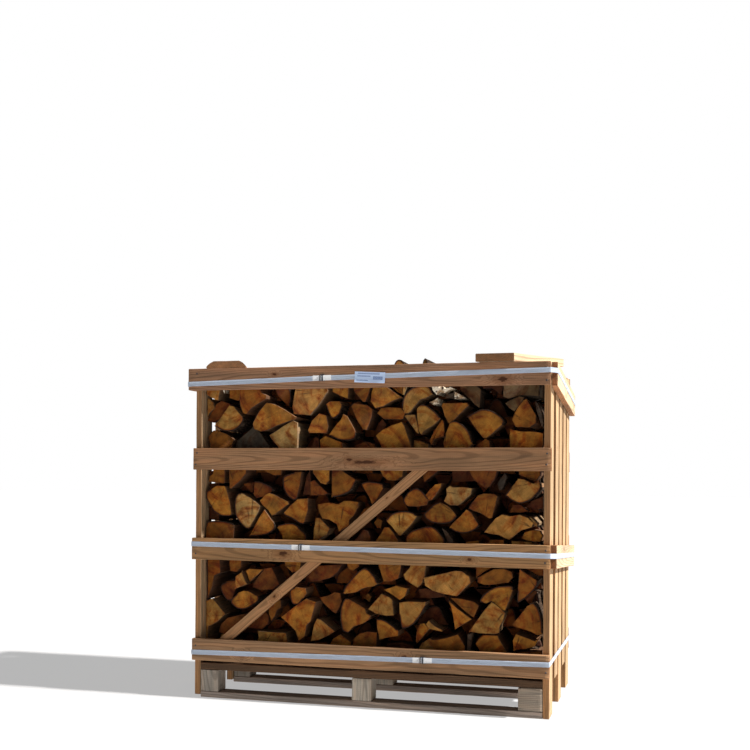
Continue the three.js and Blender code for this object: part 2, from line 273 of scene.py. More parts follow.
def birch_bark(name):
    """White bark with short dark breathing marks across it."""
    s = Shader(name, roughness=0.72, specular=0.25)
    grain = s.attribute("grain")
    marks = s.span(s.noise(grain, 1.0, 3.0, 0.6, (90.0, 260.0, 90.0)), 0.56, 0.63)
    peel = s.noise(grain, 1.0, 4.0, 0.6, (40.0, 90.0, 40.0))
    colour = s.mix(s.span(peel, 0.44, 0.60), (0.92, 0.82, 0.64, 1), (0.40, 0.25, 0.13, 1))
    colour = s.mix(marks, colour, (0.06, 0.04, 0.03, 1))
    return s.finish(colour, s.math("SUBTRACT", peel, marks), 0.0015)


def woven_strap(name, base):
    """Polyester cords side by side under a clear film: fine ridges along, faint weft across."""
    s = Shader(name, roughness=0.42, specular=0.45)
    across, along, _ = s.parts(s.attribute("grain"))
    cords = s.math("SINE", s.math("MULTIPLY", across, 3900.0))
    weft = s.math("SINE", s.math("MULTIPLY", along, 2100.0))
    dirt = s.noise(s.attribute("grain"), 1.0, 4.0, 0.6, (160.0, 16.0, 160.0))
    shade = s.math("MULTIPLY", s.span(cords, -1.0, 1.0, 0.80, 1.06), s.span(weft, -1.0, 1.0, 0.95, 1.03))
    shade = s.math("MULTIPLY", shade, s.span(dirt, 0.3, 0.75, 1.04, 0.84))
    colour = s.mix(1.0, base, s.grey(shade), "MULTIPLY")
    height = s.math("ADD", cords, s.math("MULTIPLY", weft, 0.35))
    return s.finish(colour, height, 0.00025)


def steel(name, base, rust):
    """Bare steel with spots of rust."""
    s = Shader(name, roughness=0.45, metallic=0.85, specular=0.5)
    spots = s.noise(s.node("ShaderNodeTexCoord", {}, "Object"), 420.0, 4.0, 0.65)
    worn = s.span(spots, 0.5, 0.68)
    return s.finish(s.mix(worn, base, rust), spots, 0.0002, s.span(worn, 0, 1, 0.36, 0.75))


def label_film(name):
    """Plain printed film: a few pale blue bars where a label would carry its lines."""
    s = Shader(name, roughness=0.38, specular=0.5)
    u, v, _ = s.parts(s.attribute("grain"))

    def bar(left, right, low, high):
        sides = s.math("MULTIPLY", s.math("GREATER_THAN", u, left), s.math("LESS_THAN", u, right))
        ends = s.math("MULTIPLY", s.math("GREATER_THAN", v, low), s.math("LESS_THAN", v, high))
        return s.math("MULTIPLY", sides, ends)

    ink = bar(0.10, 0.82, 0.78, 0.90)
    for box in ((0.08, 0.52, 0.55, 0.66), (0.06, 0.44, 0.16, 0.26), (0.60, 0.92, 0.30, 0.62)):
        ink = s.math("MAXIMUM", ink, bar(*box))
    wear = s.noise(s.attribute("grain"), 34.0, 4.0, 0.7)
    ink = s.math("MULTIPLY", ink, s.span(wear, 0.35, 0.6, 0.95, 0.45))
    colour = s.mix(ink, s.mix(wear, (0.62, 0.77, 1.0, 1), (0.54, 0.69, 1.0, 1)), (0.10, 0.17, 0.42, 1))
    return s.finish(colour, wear, 0.0004)


SAWN, SAWN_END = sawn_wood("sawn_wood"), sawn_wood("sawn_wood_end", end=True)
END, SPLIT = log_end("log_end"), log_split("log_split")
BARK = bark("log_bark", (0.095, 0.062, 0.040, 1), (0.024, 0.014, 0.009, 1), (0.17, 0.13, 0.095, 1))
BIRCH = birch_bark("birch_bark")
STRAP = woven_strap("woven_strap", (0.62, 0.71, 0.86, 1))
# the doubled ends are near-white, much brighter than the band of the same strap: painted sunlight
STRAP_END_PAINTED_SUNLIT = woven_strap("strap_end_painted_sunlit", (0.97, 0.98, 1.0, 1))
WIRE = steel("buckle_wire", (0.10, 0.10, 0.11, 1), (0.05, 0.03, 0.02, 1))
NAIL = steel("nail_head", (0.10, 0.09, 0.09, 1), (0.07, 0.03, 0.015, 1))
LABEL = label_film("label_film")


# ---- meshes -------------------------------------------------------------------------------------
FAR_KNOT = (9.0, 9.0, 0.01)


class Piece:
    """Collects the points and faces of one piece, with the wood coordinates its material reads."""

    def __init__(self, *materials):
        self.materials = materials
        self.points, self.faces, self.slots = [], [], []
        self.grain, self.tone, self.rim, self.edge, self.knots = [], [], [], [], ([], [])

    def point(self, place, grain, tone=(0.5, 0.5, 0.5), rim=0.0, knots=(FAR_KNOT, FAR_KNOT), edge=0.0):
        self.points.append(tuple(place))
        self.grain.append(tuple(grain))
        self.tone.append((*tone, 1.0))
        self.rim.append(rim)
        self.edge.append(edge)
        for store, knot in zip(self.knots, knots):
            store.append(knot)
        return len(self.points) - 1

    def face(self, corners, slot=0):
        self.faces.append(corners)
        self.slots.append(slot)

    def ring(self, a, b, slots):
        """Joins two closed rows of points; slots gives the material of each quad, or one for all."""
        count = len(a)
        for i in range(count):
            j = (i + 1) % count
            self.face((a[i], a[j], b[j], b[i]), slots if isinstance(slots, int) else slots[i])

    def make(self, name, slot, *replaced, sharp=40.0):
        mesh = bpy.data.meshes.new(name)
        mesh.from_pydata(self.points, [], self.faces)
        for material in self.materials:
            mesh.materials.append(material)
        mesh.polygons.foreach_set("material_index", self.slots)
        mesh.polygons.foreach_set("use_smooth", [True] * len(self.faces))
        layers = [("grain", "FLOAT_VECTOR", "vector", self.grain),
                  ("tone", "FLOAT_COLOR", "color", self.tone),
                  ("rim", "FLOAT", "value", self.rim), ("edge", "FLOAT", "value", self.edge),
                  ("knot_a", "FLOAT_VECTOR", "vector", self.knots[0]),
                  ("knot_b", "FLOAT_VECTOR", "vector", self.knots[1])]
        for layer, kind, field, values in layers:
            made = mesh.attributes.new(layer, kind, "POINT")
            made.data.foreach_set(field, np.array(values, dtype=np.float32).ravel())
        mesh.set_sharp_from_angle(angle=math.radians(sharp))
        mesh.validate()
        made = bpy.data.objects.new(name, mesh)
        bpy.context.scene.collection.objects.link(made)
        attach(made, "root")
        if replaced:
            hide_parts(*replaced)


def wobble(x, y, z, seed):
    """Smooth noise from about -1 to 1."""
    return noise.noise(Vector((x + seed * 7.31, y - seed * 3.17, z + seed * 1.93)))


# ---- sawn boards --------------------------------------------------------------------------------
def straight_box(node):
    """Centre, directions (along, across, through) and sizes of a straight CAD timber."""
    mesh = nodes[node].data
    points = np.array([nodes[node].matrix_world @ v.co for v in mesh.vertices])
    areas = {}
    for polygon in mesh.polygons:
        normal = Vector([round(abs(n), 3) * (1 if n * max(polygon.normal, key=abs) >= 0 else -1)
                         for n in polygon.normal])
        key = tuple(round(n, 2) for n in (normal if max(normal, key=abs) > 0 else -normal))
        areas[key] = areas.get(key, 0.0) + polygon.area
    ranked = sorted(areas, key=areas.get, reverse=True)
    through = Vector(ranked[0]).normalized()
    across = next(Vector(k).normalized() for k in ranked[1:] if abs(Vector(k).dot(through)) < 0.1)
    across = (across - through * across.dot(through)).normalized()
    along = across.cross(through)
    if max(along, key=abs) < 0:
        along, through = -along, -through
    axes = [along, across, through]
    spans = [(points @ np.array(axis)) for axis in axes]
    sizes = [float(span.max() - span.min()) for span in spans]
    middle = sum((axis * float(span.max() + span.min()) / 2 for axis, span in zip(axes, spans)), Vector())
    return middle, axes, sizes


def rounded_section(width, thick, cut):
    """Points round a rectangle whose corners are eased, anticlockwise from the lower right."""
    w, t = width / 2, thick / 2
    wide, narrow = max(4, round(width / 0.009)), max(2, round(thick / 0.009))
    points = []
    for k in range(narrow + 1):
        points.append((w, -t + cut + (thick - 2 * cut) * k / narrow))
    for k in range(wide + 1):
        points.append((w - cut - (width - 2 * cut) * k / wide, t))
    for k in range(narrow + 1):
        points.append((-w, t - cut - (thick - 2 * cut) * k / narrow))
    for k in range(wide + 1):
        points.append((-w + cut + (width - 2 * cut) * k / wide, -t))
    return points


def board(node, tone, slot, knots=(), rough=1.0, painted_sunlit_tone=None):
    """A sawn board in a CAD timber's place: uneven edges, worn arrises; its wide faces may take a paler tone
    that is painted sunlight.
    """
    middle, (along, across, through), (length, width, thick) = straight_box(node)
    seed = rng.uniform(0, 50)
    section = rounded_section(width, thick, 0.0013)
    count = max(3, round(length / 0.014))
    stations = [-length / 2, -length / 2 + 0.0012]
    stations += [-length / 2 + length * k / count for k in range(1, count)]
    stations += [length / 2 - 0.0012, length / 2]
    pith = (rng.uniform(-0.4, 0.4) * width, rng.choice((-1, 1)) * rng.uniform(0.02, 0.07))
    lean = (rng.uniform(-0.02, 0.02), rng.uniform(-0.045, 0.045))
    shade = rng.uniform(0.93, 1.07)
    painted_sunlit_tone = tuple(c * shade for c in painted_sunlit_tone or tone)
    tone = tuple(c * shade for c in tone)
    while len(knots) < 2:
        some = (rng.uniform(-0.45, 0.45) * length, rng.uniform(-0.38, 0.38) * width,
                rng.uniform(0.0025, 0.006))
        knots = (*knots, some if rng.random() < 0.45 else FAR_KNOT)
    piece = Piece(SAWN, SAWN_END)

    def place(l, w, t, skin=1.0):
        frayed = 1.0 if abs(l) > length / 2 - 0.0006 else 0.0
        edge = 1.0 if abs(w) > width / 2 - 0.002 else 0.0
        w_in = edge * (0.00065 + 0.0006 * wobble(l * 9, w * 4, 0, seed)
                       + 0.0011 * max(0.0, wobble(l * 34, t * 30, w, seed + 3) - 0.25)) * rough
        t_in = (0.0003 + 0.0003 * wobble(l * 12, w * 30, t * 9, seed + 5)) * skin * rough
        w2 = w - math.copysign(w_in + 0.0007 * frayed, w)
        t2 = t - math.copysign(t_in + 0.0005 * frayed, t)
        l2 = l - frayed * math.copysign(0.0006 + 0.0006 * wobble(w * 40, t * 60, 0, seed + 9), l)
        spot = middle + along * l2 + across * w2 + through * t2
        grain = (w + pith[0] + l * lean[0], l + seed, t + pith[1] + l * lean[1])
        # wide faces take the paler painted-sunlight tone where one is given; edges and ends keep the plain
        # tone
        on_wide_face = abs(t) > thick / 2 - 1e-6
        return piece.point(spot, grain, painted_sunlit_tone if on_wide_face else tone, 0.0,
                           [((l - k[0]) / (k[3] if len(k) > 3 else 1.0), w - k[1], k[2]) for k in knots])

    rings = [[place(l, w, t) for w, t in section] for l in stations]
    for a, b in zip(rings, rings[1:]):
        piece.ring(a, b, 0)
    for ring, l, turn in ((rings[0], stations[0], 1), (rings[-1], stations[-1], -1)):
        inner = [place(l, w * 0.8, t * 0.6, 0.0) for w, t in section]
        a, b = (inner, ring) if turn > 0 else (ring, inner)
        piece.ring(a, b, 1)
        piece.face(tuple(inner if turn < 0 else inner[::-1]), 1)
    piece.make(node + "_sawn", slot, node)


RAIL_TONES = {"a": (0.345, 0.190, 0.107), "b": (0.375, 0.206, 0.105), "c": (0.425, 0.240, 0.110),
              "d": (0.395, 0.228, 0.120)}
# places of the clear knots: metres along from the middle, across from the middle, radius, stretch
RAIL_KNOTS = {
    "a": ((0.462, -0.018, 0.010), (-0.30, 0.012, 0.004)),
    "b": ((-0.052, -0.002, 0.006), (0.004, -0.010, 0.0075, 3.2)),
    "c": ((-0.276, -0.008, 0.010), (0.35, -0.012, 0.005)),
    "d": ((0.14, 0.010, 0.006), (-0.42, -0.010, 0.007)),
}
# each pair: a plain tone for edges and ends, then a paler, creamier tone for the wide faces that is painted
# sunlight
WALL_TONE, WALL_PAINTED_SUNLIT = (0.41, 0.22, 0.098), (0.51, 0.355, 0.205)
SIDE_RAIL_TONE, SIDE_RAIL_PAINTED_SUNLIT = (0.50, 0.26, 0.13), (0.66, 0.50, 0.33)
PALLET_TONE, STRINGER_TONE = (0.20, 0.16, 0.125), (0.125, 0.074, 0.042)
BLOCK_TONES = {"left": (0.36, 0.32, 0.27), "centre": (0.57, 0.50, 0.41), "right": (0.38, 0.32, 0.255)}
for letter, tone in RAIL_TONES.items():
    board(f"rail_front_{letter}", tone, "rail_wood", RAIL_KNOTS[letter])
    board(f"rail_back_{letter}", tone, "rail_wood")
board("brace_front", (0.40, 0.22, 0.105), "rail_wood", ((-0.20, 0.0, 0.005), (0.31, 0.003, 0.002)))
board("brace_back", (0.40, 0.26, 0.15), "rail_wood")
# the wall boards and side rails carry painted sunlight on their wide faces
for side in ("left", "right"):
    for number in range(1, 6):
        board(f"side_board_{side}_{number}", WALL_TONE, "wall_wood", painted_sunlit_tone=WALL_PAINTED_SUNLIT)
    for level in ("top", "middle"):
        board(f"side_rail_{side}_{level}", SIDE_RAIL_TONE, "wall_wood", painted_sunlit_tone=SIDE_RAIL_PAINTED_SUNLIT)
for row in ("front", "middle", "back"):
    board(f"skid_{row}", (0.40, 0.33, 0.28), "pallet_wood", rough=1.8)
    board(f"stringer_{row}", STRINGER_TONE, "pallet_wood", ((-0.19, 0.0, 0.006),), rough=1.5)
    for word in ("left", "centre", "right"):
        board(f"block_{row}_{word}", BLOCK_TONES[word], "pallet_wood", (FAR_KNOT, FAR_KNOT), rough=1.5)
for number in range(1, 8):
    board(f"deck_board_{number}", PALLET_TONE, "pallet_wood", rough=1.5)


# ---- split logs ---------------------------------------------------------------------------------
LOG_TONES = {
    "tan": (0.46, 0.225, 0.050), "honey": (0.41, 0.165, 0.021), "ochre": (0.30, 0.108, 0.013),
    "amber": (0.20, 0.060, 0.008), "rust": (0.10, 0.029, 0.007), "grey": (0.085, 0.062, 0.042),
    "dusk": (0.135, 0.080, 0.034), "pale": (0.47, 0.27, 0.085), "birch": (0.6, 0.5, 0.38),
}


def smooth_run(points, steps):
    """Points on a smooth curve through the given ones, the first and the last included."""
    ends = [points[0]] + list(points) + [points[-1]]
    run = []
    for a, b, c, d in zip(ends, ends[1:], ends[2:], ends[3:]):
        for k in range(steps):
            t = k / steps
            run.append(tuple(0.5 * (2 * q + (r - p) * t + (2 * p - 5 * q + 4 * r - s) * t * t
                                    + (3 * q - p - 3 * r + s) * t ** 3)
                             for p, q, r, s in zip(a, b, c, d)))
    return run + [points[-1]]


def spaced(points, step):
    """The same open line with a point about every step, its corners kept."""
    run = []
    for a, b in zip(points, points[1:]):
        count = max(1, round(math.dist(a, b) / step))
        run += [tuple(p + (q - p) * k / count for p, q in zip(a, b)) for k in range(count)]
    return run


def log_outline(corners, bark_points, step):
    """The log's end as (x, z, 1 where there is bark), anticlockwise seen from the front."""
    closing = [] if bark_points else [corners[0]]
    split = [(x, z, 0.0) for x, z in spaced(list(corners) + closing, step)]
    if bark_points:
        curve = smooth_run([corners[-1], *bark_points, corners[0]], 4)
        split += [(x, z, 1.0) for x, z in spaced(curve, step)]
    area = sum(a[0] * b[1] - b[0] * a[1] for a, b in zip(split, split[1:] + split[:1]))
    return split if area > 0 else split[::-1]


LOG_STATIONS = (0.0, 0.006, 0.04, 0.12, 0.24, 0.38, 0.54, 0.70, 0.84, 0.95, 0.994, 1.0)


def log(piece, kind, corners, bark_points, front, back, seed, step=0.0075, shares=LOG_STATIONS):
    """One split log: cut ends, torn split faces that run along it, and bark where it has any."""
    shade = rng.uniform(0.84, 1.16)
    tone = tuple(c * shade * rng.uniform(0.97, 1.03) for c in LOG_TONES[kind])
    outline = log_outline(corners, bark_points, step)
    count = len(outline)
    centre = Vector((sum(p[0] for p in outline), sum(p[1] for p in outline))) / count
    if bark_points:
        crown = Vector(bark_points[len(bark_points) // 2])
        pith = Vector(max(corners, key=lambda c: (Vector(c) - crown).length))
        pith += (pith - crown).normalized() * rng.uniform(-0.004, 0.02)
    else:
        pith = centre + Vector((rng.uniform(-1, 1), rng.uniform(-1, 1))) * 0.07
    outwards = []
    for i in range(count):
        before, after = outline[i - 1], outline[(i + 1) % count]
        run = Vector((after[0] - before[0], after[1] - before[1]))
        outwards.append(Vector((run.y, -run.x)).normalized() if run.length > 1e-6 else Vector((0, 0)))
    slant = (rng.uniform(-0.05, 0.05), rng.uniform(-0.05, 0.05))
    taper, sway = rng.uniform(0.0, 0.07), Vector((rng.uniform(-1, 1), rng.uniform(-1, 1))) * 0.003
    length = back - front

    def place(i, y, inset, bark_rim, edge=1.0, shrink=1.0):
        x, z, on_bark = outline[i]
        share = (y - front) / length
        depth = 0.0026 if on_bark else 0.0022
        ridge = 0.5 + 0.5 * wobble(x * 75, y * (16 if on_bark else 5), z * 75, seed)
        torn = max(0.0, wobble(x * 30, y * 7, z * 30, seed + 4)) * 0.005 * min(1.0, share * 6)
        spot = Vector((x, z)) - outwards[i] * (inset + depth * ridge * min(1.0, 0.55 + share * 9) + torn)
        spot = centre + (spot - centre) * (1 - taper * share) * shrink + sway * share
        tip = 1.0 if y in (front, back) else 0.0
        y2 = y + tip * (slant[0] * (x - centre.x) + slant[1] * (z - centre.y)
                        + 0.0006 * wobble(x * 60, 0, z * 60, seed))
        return piece.point((spot.x, y2 - DEPTH_SHIFT, spot.y),
                           (spot.x - pith.x, y + seed, spot.y - pith.y), tone, bark_rim * on_bark,
                           edge=edge)

    side_slots = [(2 if a[2] or b[2] else 1) for a, b in zip(outline, outline[1:] + outline[:1])]
    if kind == "grey":
        side_slots = [2] * count
    if kind == "birch":
        side_slots = [3] * count
    cap = 3 if kind == "birch" else 0
    rings = [[place(i, front + length * s, 0.0007 if s in (0.0, 1.0) else 0.0, 1.0) for i in range(count)]
             for s in shares]
    for a, b in zip(rings, rings[1:]):
        piece.ring(b, a, side_slots)
    for ring, y, turn in ((rings[0], front, 1), (rings[-1], back, -1)):
        # the inner ring and the core carry the edge values that log_end turns into painted shade near the
        # outline
        inner = [place(i, y, 0.004, 0.28, 0.6) for i in range(count)]
        core = [place(i, y, 0.004, 0.0, 0.0, 0.88) for i in range(count)]
        for outer, within in ((ring, inner), (inner, core)):
            piece.ring(*((outer, within) if turn > 0 else (within, outer)), cap)
        piece.face(tuple(core if turn > 0 else core[::-1]), cap)


def read_logs(text):
    """Each line: kind, depth of the end behind the rails in cm: x z corners; x z points on the bark."""
    for line in text.strip().replace(",\n", ", ").splitlines():
        head, body = line.split(":")
        kind, depth = head.split()
        runs = []
        for part in (body + ";").split(";")[:2]:
            pairs = [pair.split() for pair in part.split(",") if pair.strip()]
            values = [tuple(float(v) / 100 for v in pair) for pair in pairs]
            runs.append([(max(-WALL_INSIDE, min(WALL_INSIDE, x)), DECK_TOP if z < 0.1505 else z)
                         for x, z in values])
        yield kind, float(depth) / 100, runs[0], runs[1]


# the logs' cut ends as seen from the front: bay by bay between the rails, from the bottom up
BAY_LOW = """
ochre 2: -58.4 50, -53 50, -52.6 42, -54.9 41, -55.5 37.5, -57.2 33, -58.3 32.6; -58.9 38, -58.8 44
tan 1.5: -58.7 32.3, -55.2 33.4, -50.3 28.1, -53.3 25.4, -55.2 24.2, -56.8 23.6, -57.2 15, -58.8 15
ochre 3: -49.7 50, -45.3 50, -45.3 44, -47 42.3, -49.3 42.6, -49.8 45
tan 1: -46.6 41.2, -44.3 42.7, -43.2 40, -42.3 38.6, -47 36.7
amber 3: -50.5 39.3, -47.2 39.5, -47.3 36.5, -48.2 34, -48.6 32.8; -50.5 32.5, -52.5 35, -53 37.5
honey 1: -45.5 35.7, -43.7 36.4, -42 36.3, -40.3 35.6, -38 34.2; -38.5 32.7, -41 31, -43.5 30,
-46 30.2, -48 31.8, -48.1 33.2
honey 2: -43.3 43, -42 43.8, -36.9 43.7, -39.4 41.3, -41.8 39.3
amber 2: -40.8 37.5, -40.5 39, -38.5 41.6, -36.5 44, -34 44.4, -32.5 42, -31 38.8, -33.5 36.9, -38 36.5
honey 3: -30 50, -29.5 45, -27 42.8, -25 43, -24 44, -23 50
amber 2: -53.2 21.6, -52.3 24.5, -50 26.8, -45.5 28, -43 28.5, -44.5 24.5, -49 20.5
amber 2.5: -42.8 23.6, -41.5 26.4, -36.4 29.6, -34.9 27.9, -35.2 25.2, -37.5 23.2
ochre 2: -35 30.8, -32 33.8, -30.6 33.4, -30.5 31, -32 30, -32.6 28, -34 26.3, -35 28.5
honey 1: -25 38.2, -21.5 38, -21 36.2, -22.5 34; -24 32.3, -26 32.4, -26.9 34.5, -26.9 37
honey 0.5: -30 27.9, -25.5 31.5, -21 34.6, -17.4 33.6, -19.4 27, -20.9 25.5, -21.4 22, -23.6 20,
-24.8 23.5, -27.2 25.7
tan 1: -38.5 22.9, -28.3 22.7, -27.7 20, -27.9 15, -37 15
tan 3: -40.3 15, -39.8 19, -38.4 21, -37.5 19, -37.6 15
tan 2: -53 15, -52.5 21, -50.8 21.5, -49.5 20, -45 15
ochre 3: -27 14.5, -26.5 19, -24.6 19.4, -21 14.5
amber 2: -21 41.8, -19.5 44, -17.5 45.5, -9 46.2, -10.5 43.5, -13 41.5, -17 40.3, -20 40.2
ochre 3: -9 50, -3 50, -3.5 45.5, -5.5 43.8, -7.3 44.7
honey 0.5: 3.6 40.2, 2.5 39.3, 0 38.9, -2 38.2, -3.5 37.2, -6 36.7, -8.3 36.4; -7.8 38.5, -5.5 41.5,
-2.5 44.5, -0.5 45.2, 1.5 43.8, 3 42
tan 6: -2.9 34.8, -1.2 36.4, 0.2 35.2, -0.6 33.4
honey 0.5: -6.3 35, -4 33.9, -0.5 32, 0 30.5, 1.5 29.7, 0.5 28, -1.5 26.8, -4.5 25.8,
-6.5 23.6; -8.2 24.2, -9 26.5, -9.2 30, -8.8 32.5, -7.6 35
amber 3: -17.3 34.8, -14 35.6, -12 36.8, -10 36.5, -9.3 34, -10.3 31.3, -11.5 29.5, -13 30.3, -16 33
tan 0.5: -18.3 26, -17.3 28, -16 27.7, -13.5 25.8, -11 24, -13 22.6, -16.5 20.8, -19.3 20.4, -18.9 23
tan 1: 0.2 31.7, 4.8 37, 7.5 36, 8.6 35, 9.1 30, 6.5 29.7, 3 30.3
ochre 2: 3.3 50, 3.5 46, 5.3 40.8, 8 41, 10.2 42, 11 44.5, 11.5 50
tan 1: 12.2 43.5, 14.2 45.8, 16 50, 20.2 50, 19.3 43, 18.3 40.5, 17 39.3, 15 40.3, 12.8 41.9
honey 2: 5.2 38.2, 9.5 39.7, 13.5 38.9, 12.7 36.3, 10.8 34.9, 8 36.7
tan 0.5: 11 31, 11 34.4, 14 34.9, 19.8 34.9, 19.6 33; 17.5 29.5, 15 26.8, 12.3 25.9, 11.5 27
honey 0.5: 10.9 25.2, 10.8 23.4, 7.5 22.8, 4.3 21.9, 3.5 25.5, 3.2 28.8; 5.5 28.6, 8 27.4
ochre 1: -3.5 15, -5 19, -4.7 21.8, -2.5 23.7, 0 24.4, 3.4 24.2, 3.2 20, 1.5 15
honey 2: -13.5 15, -13.3 19, -12 21.5, -9.5 22.9, -5.8 20.5, -5.4 15
honey 2: 16.1 21.7, 16.4 25, 17.6 27.6, 19 27.8, 20.8 26, 20 25, 18 22.5, 16.6 21
tan 1: 16.5 15, 17.2 19.5, 18.5 21.5, 21 23.2, 21.8 22.7, 23 20, 23 15
tan 0.5: 19 42.7, 24 43.9, 29 45.2, 31.5 45.2, 34 43.5, 34.5 41.5, 31.5 38.5, 30.2 37, 26 37.5,
22 38.5, 19.5 40
rust 4: 16.5 38.5, 19 39, 20.5 38.6, 24.5 37.8, 26 36.4, 22 35.8, 17 35.6
honey 1: 27.2 35.6, 30.2 33, 34.8 29.8, 33 28.6, 29.3 26.2, 28.9 29, 28.2 32.5
ochre 1.5: 27.6 36.4, 31 36.3, 35.5 35.4, 37 34.2, 36.2 32, 35.4 30.2, 34.5 30.6, 31 33.3
honey 1: 48 39.5, 46.8 36, 45.5 32.8, 44 33.3, 42 35.3, 41 35.8, 39.5 35, 37.9 35.2; 37.3 36,
38.5 37.8, 40.5 39.5, 43 40.6, 47.5 41
ochre 2: 36.4 41.4, 36.3 43, 39 44.6, 41.5 46, 45 46.3, 47.5 45.3, 47.9 43.5, 46.5 41.8, 42 41,
38.5 40.7
ochre 3: 35.6 50, 35.8 42.8, 38.5 44.9, 41.3 46.6, 41.5 50
tan 0.5: 41.2 35.7, 43 34.8, 45.6 32.3, 45.2 30.5, 44 28, 43.7 25.8, 42 25.3, 38 25.4, 33.8 25.8,
36.5 29.5, 38.5 32.5
ochre 1: 49.5 40, 50 46.3, 54.5 43.6, 55.9 42.8; 55.5 41, 53 38, 50 35.7, 49.2 36.5
amber 3: 50.9 50, 51 46.8, 55 44.4, 57.4 44, 57.4 50
ochre 1: 57.3 26, 55.8 25.6, 54 26.5, 51.5 27.3, 48.5 28, 47.7 28.6, 50 31.5, 52.5 34.8,
54.6 35.8; 56 34, 57.2 30
honey 1: 48 23.7, 49 25.8, 51.5 25, 55 23.8, 56.4 24.6, 55 22, 52 21, 50 20.8, 48.2 20.3
honey 1: 36 22, 37.2 23.8, 38.5 25, 43 25, 44.5 22.5, 46 20, 46 15, 40 15, 37 20.5
ochre 1: 21.5 22.7, 24 22.9, 27 23.7, 30.3 24.8, 31.5 23, 32.6 21, 32.6 15, 24 15
grey 1: 33 16, 33.4 25, 35.2 25.4, 34.8 22, 34.2 16
tan 2: 19.5 27.5, 20.5 28.8, 22.5 27, 25.2 25.8, 25 25.2, 22.5 25.6, 20.5 26
ochre 2: 47 14.5, 47.5 19.5, 52 20.2, 57 20.5, 57 14.5
rust 4: 5 15, 6 20.5, 11 21, 15 20, 15.5 15
amber 3: -20.5 14.5, -19.5 19.5, -14.5 20, -13.8 14.5
"""
